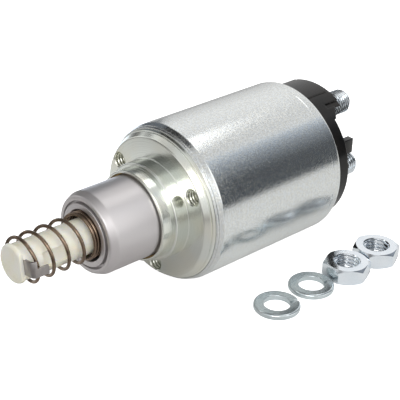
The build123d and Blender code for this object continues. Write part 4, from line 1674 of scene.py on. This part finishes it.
    def world(self) -> None:
        """Sets the world: white behind the object, and a pale room with soft patches for light and reflections."""
        world = bpy.data.worlds.new("studio")
        bpy.context.scene.world = world
        graph = Graph.within(world)
        towards = graph.value("ShaderNodeTexCoord", output="Generated")
        height = graph.split(towards)[2]
        lower = graph.ramp(height, *self.crown_ramp, self.horizon, self.crown)
        room = graph.ramp(height, *self.zenith_ramp, lower, self.zenith)
        for patch in self.patches:
            middle = Vector(patch.towards).normalized()
            facing = graph.value("ShaderNodeVectorMath", {0: towards, 1: middle}, "Value", operation="DOT_PRODUCT")
            outside = math.cos(math.radians(patch.half_deg + patch.rim_deg))
            share = graph.ramp(facing, outside, math.cos(math.radians(patch.half_deg)))
            room = room + share * (patch.level - room)
        seen = graph.value("ShaderNodeLightPath", output="Is Camera Ray")
        strength = graph.value("ShaderNodeMix", {0: seen, 2: room, 3: 1.0})
        backdrop = graph.value("ShaderNodeBackground", {"Color": (1.0, 1.0, 1.0, 1.0), "Strength": strength})
        graph.add("ShaderNodeOutputWorld", {"Surface": backdrop})

    def lamp(self, soft: SoftBox) -> None:
        """Hangs one soft box.

        Args:
            soft: where it hangs, how large it is and how bright its face is.
        """
        data = bpy.data.lights.new(soft.name, "AREA")
        data.shape = "RECTANGLE"
        data.size, data.size_y = soft.size
        data.energy = soft.level * math.pi * soft.size[0] * soft.size[1]
        lamp = put(soft.name, data)
        lamp.location = soft.place
        lamp.rotation_mode = "QUATERNION"
        facing = (Vector(soft.aim) - Vector(soft.place)).to_track_quat("-Z", "Y")
        lamp.rotation_quaternion = facing @ Quaternion((0.0, 0.0, 1.0), math.radians(soft.turn_deg))
        lamp.visible_camera = False

    def card(self, card: Card) -> None:
        """Stands one card, which only reflections show.

        Args:
            card: where it stands, how it is cut and how bright it is.
        """
        (foot_x, foot_z), (top_x, top_z) = card.left_foot, card.left_top
        corners = [(foot_x, foot_z), (card.right_x, foot_z), (card.right_x, top_z), (top_x, top_z)]
        mesh = bpy.data.meshes.new(card.name)
        mesh.from_pydata([(x, card.y, z) for x, z in corners], [], [(3, 2, 1, 0)])
        material = bpy.data.materials.new(card.name)
        graph = Graph.within(material)
        height = graph.split(graph.value("ShaderNodeTexCoord", output="Object"))[2]
        levels = dict(enumerate((height, card.low_z, card.high_z, card.low_level, card.high_level)))
        face = {"Color": (*self.card_colour, 1.0), "Strength": graph.value("ShaderNodeMapRange", levels)}
        graph.add("ShaderNodeOutputMaterial", {"Surface": graph.value("ShaderNodeEmission", face)})
        mesh.materials.append(material)
        stood = put(card.name, mesh)
        stood.visible_camera = stood.visible_shadow = stood.visible_diffuse = False


@dataclass
class Solenoid:
    """The whole starter solenoid, by its sub-assemblies in the order they are built."""

    parts: tuple[Any, ...] = field(
        default_factory=lambda: (
            Can(), PoleEnd(), Plunger(), ShiftStem(), *SPRINGS, SwitchEnd(), LooseHardware(), HiddenParts()
        )
    )

    def build(self) -> None:
        """Builds every sub-assembly."""
        for part in self.parts:
            part.build()
            LOG.info("%s done", type(part).__name__)


def main() -> None:
    """Builds the studio and the solenoid."""
    logging.basicConfig(level=logging.INFO, format="%(name)s %(message)s")
    Studio().build()
    Solenoid().build()


if __name__ == "__main__":
    main()
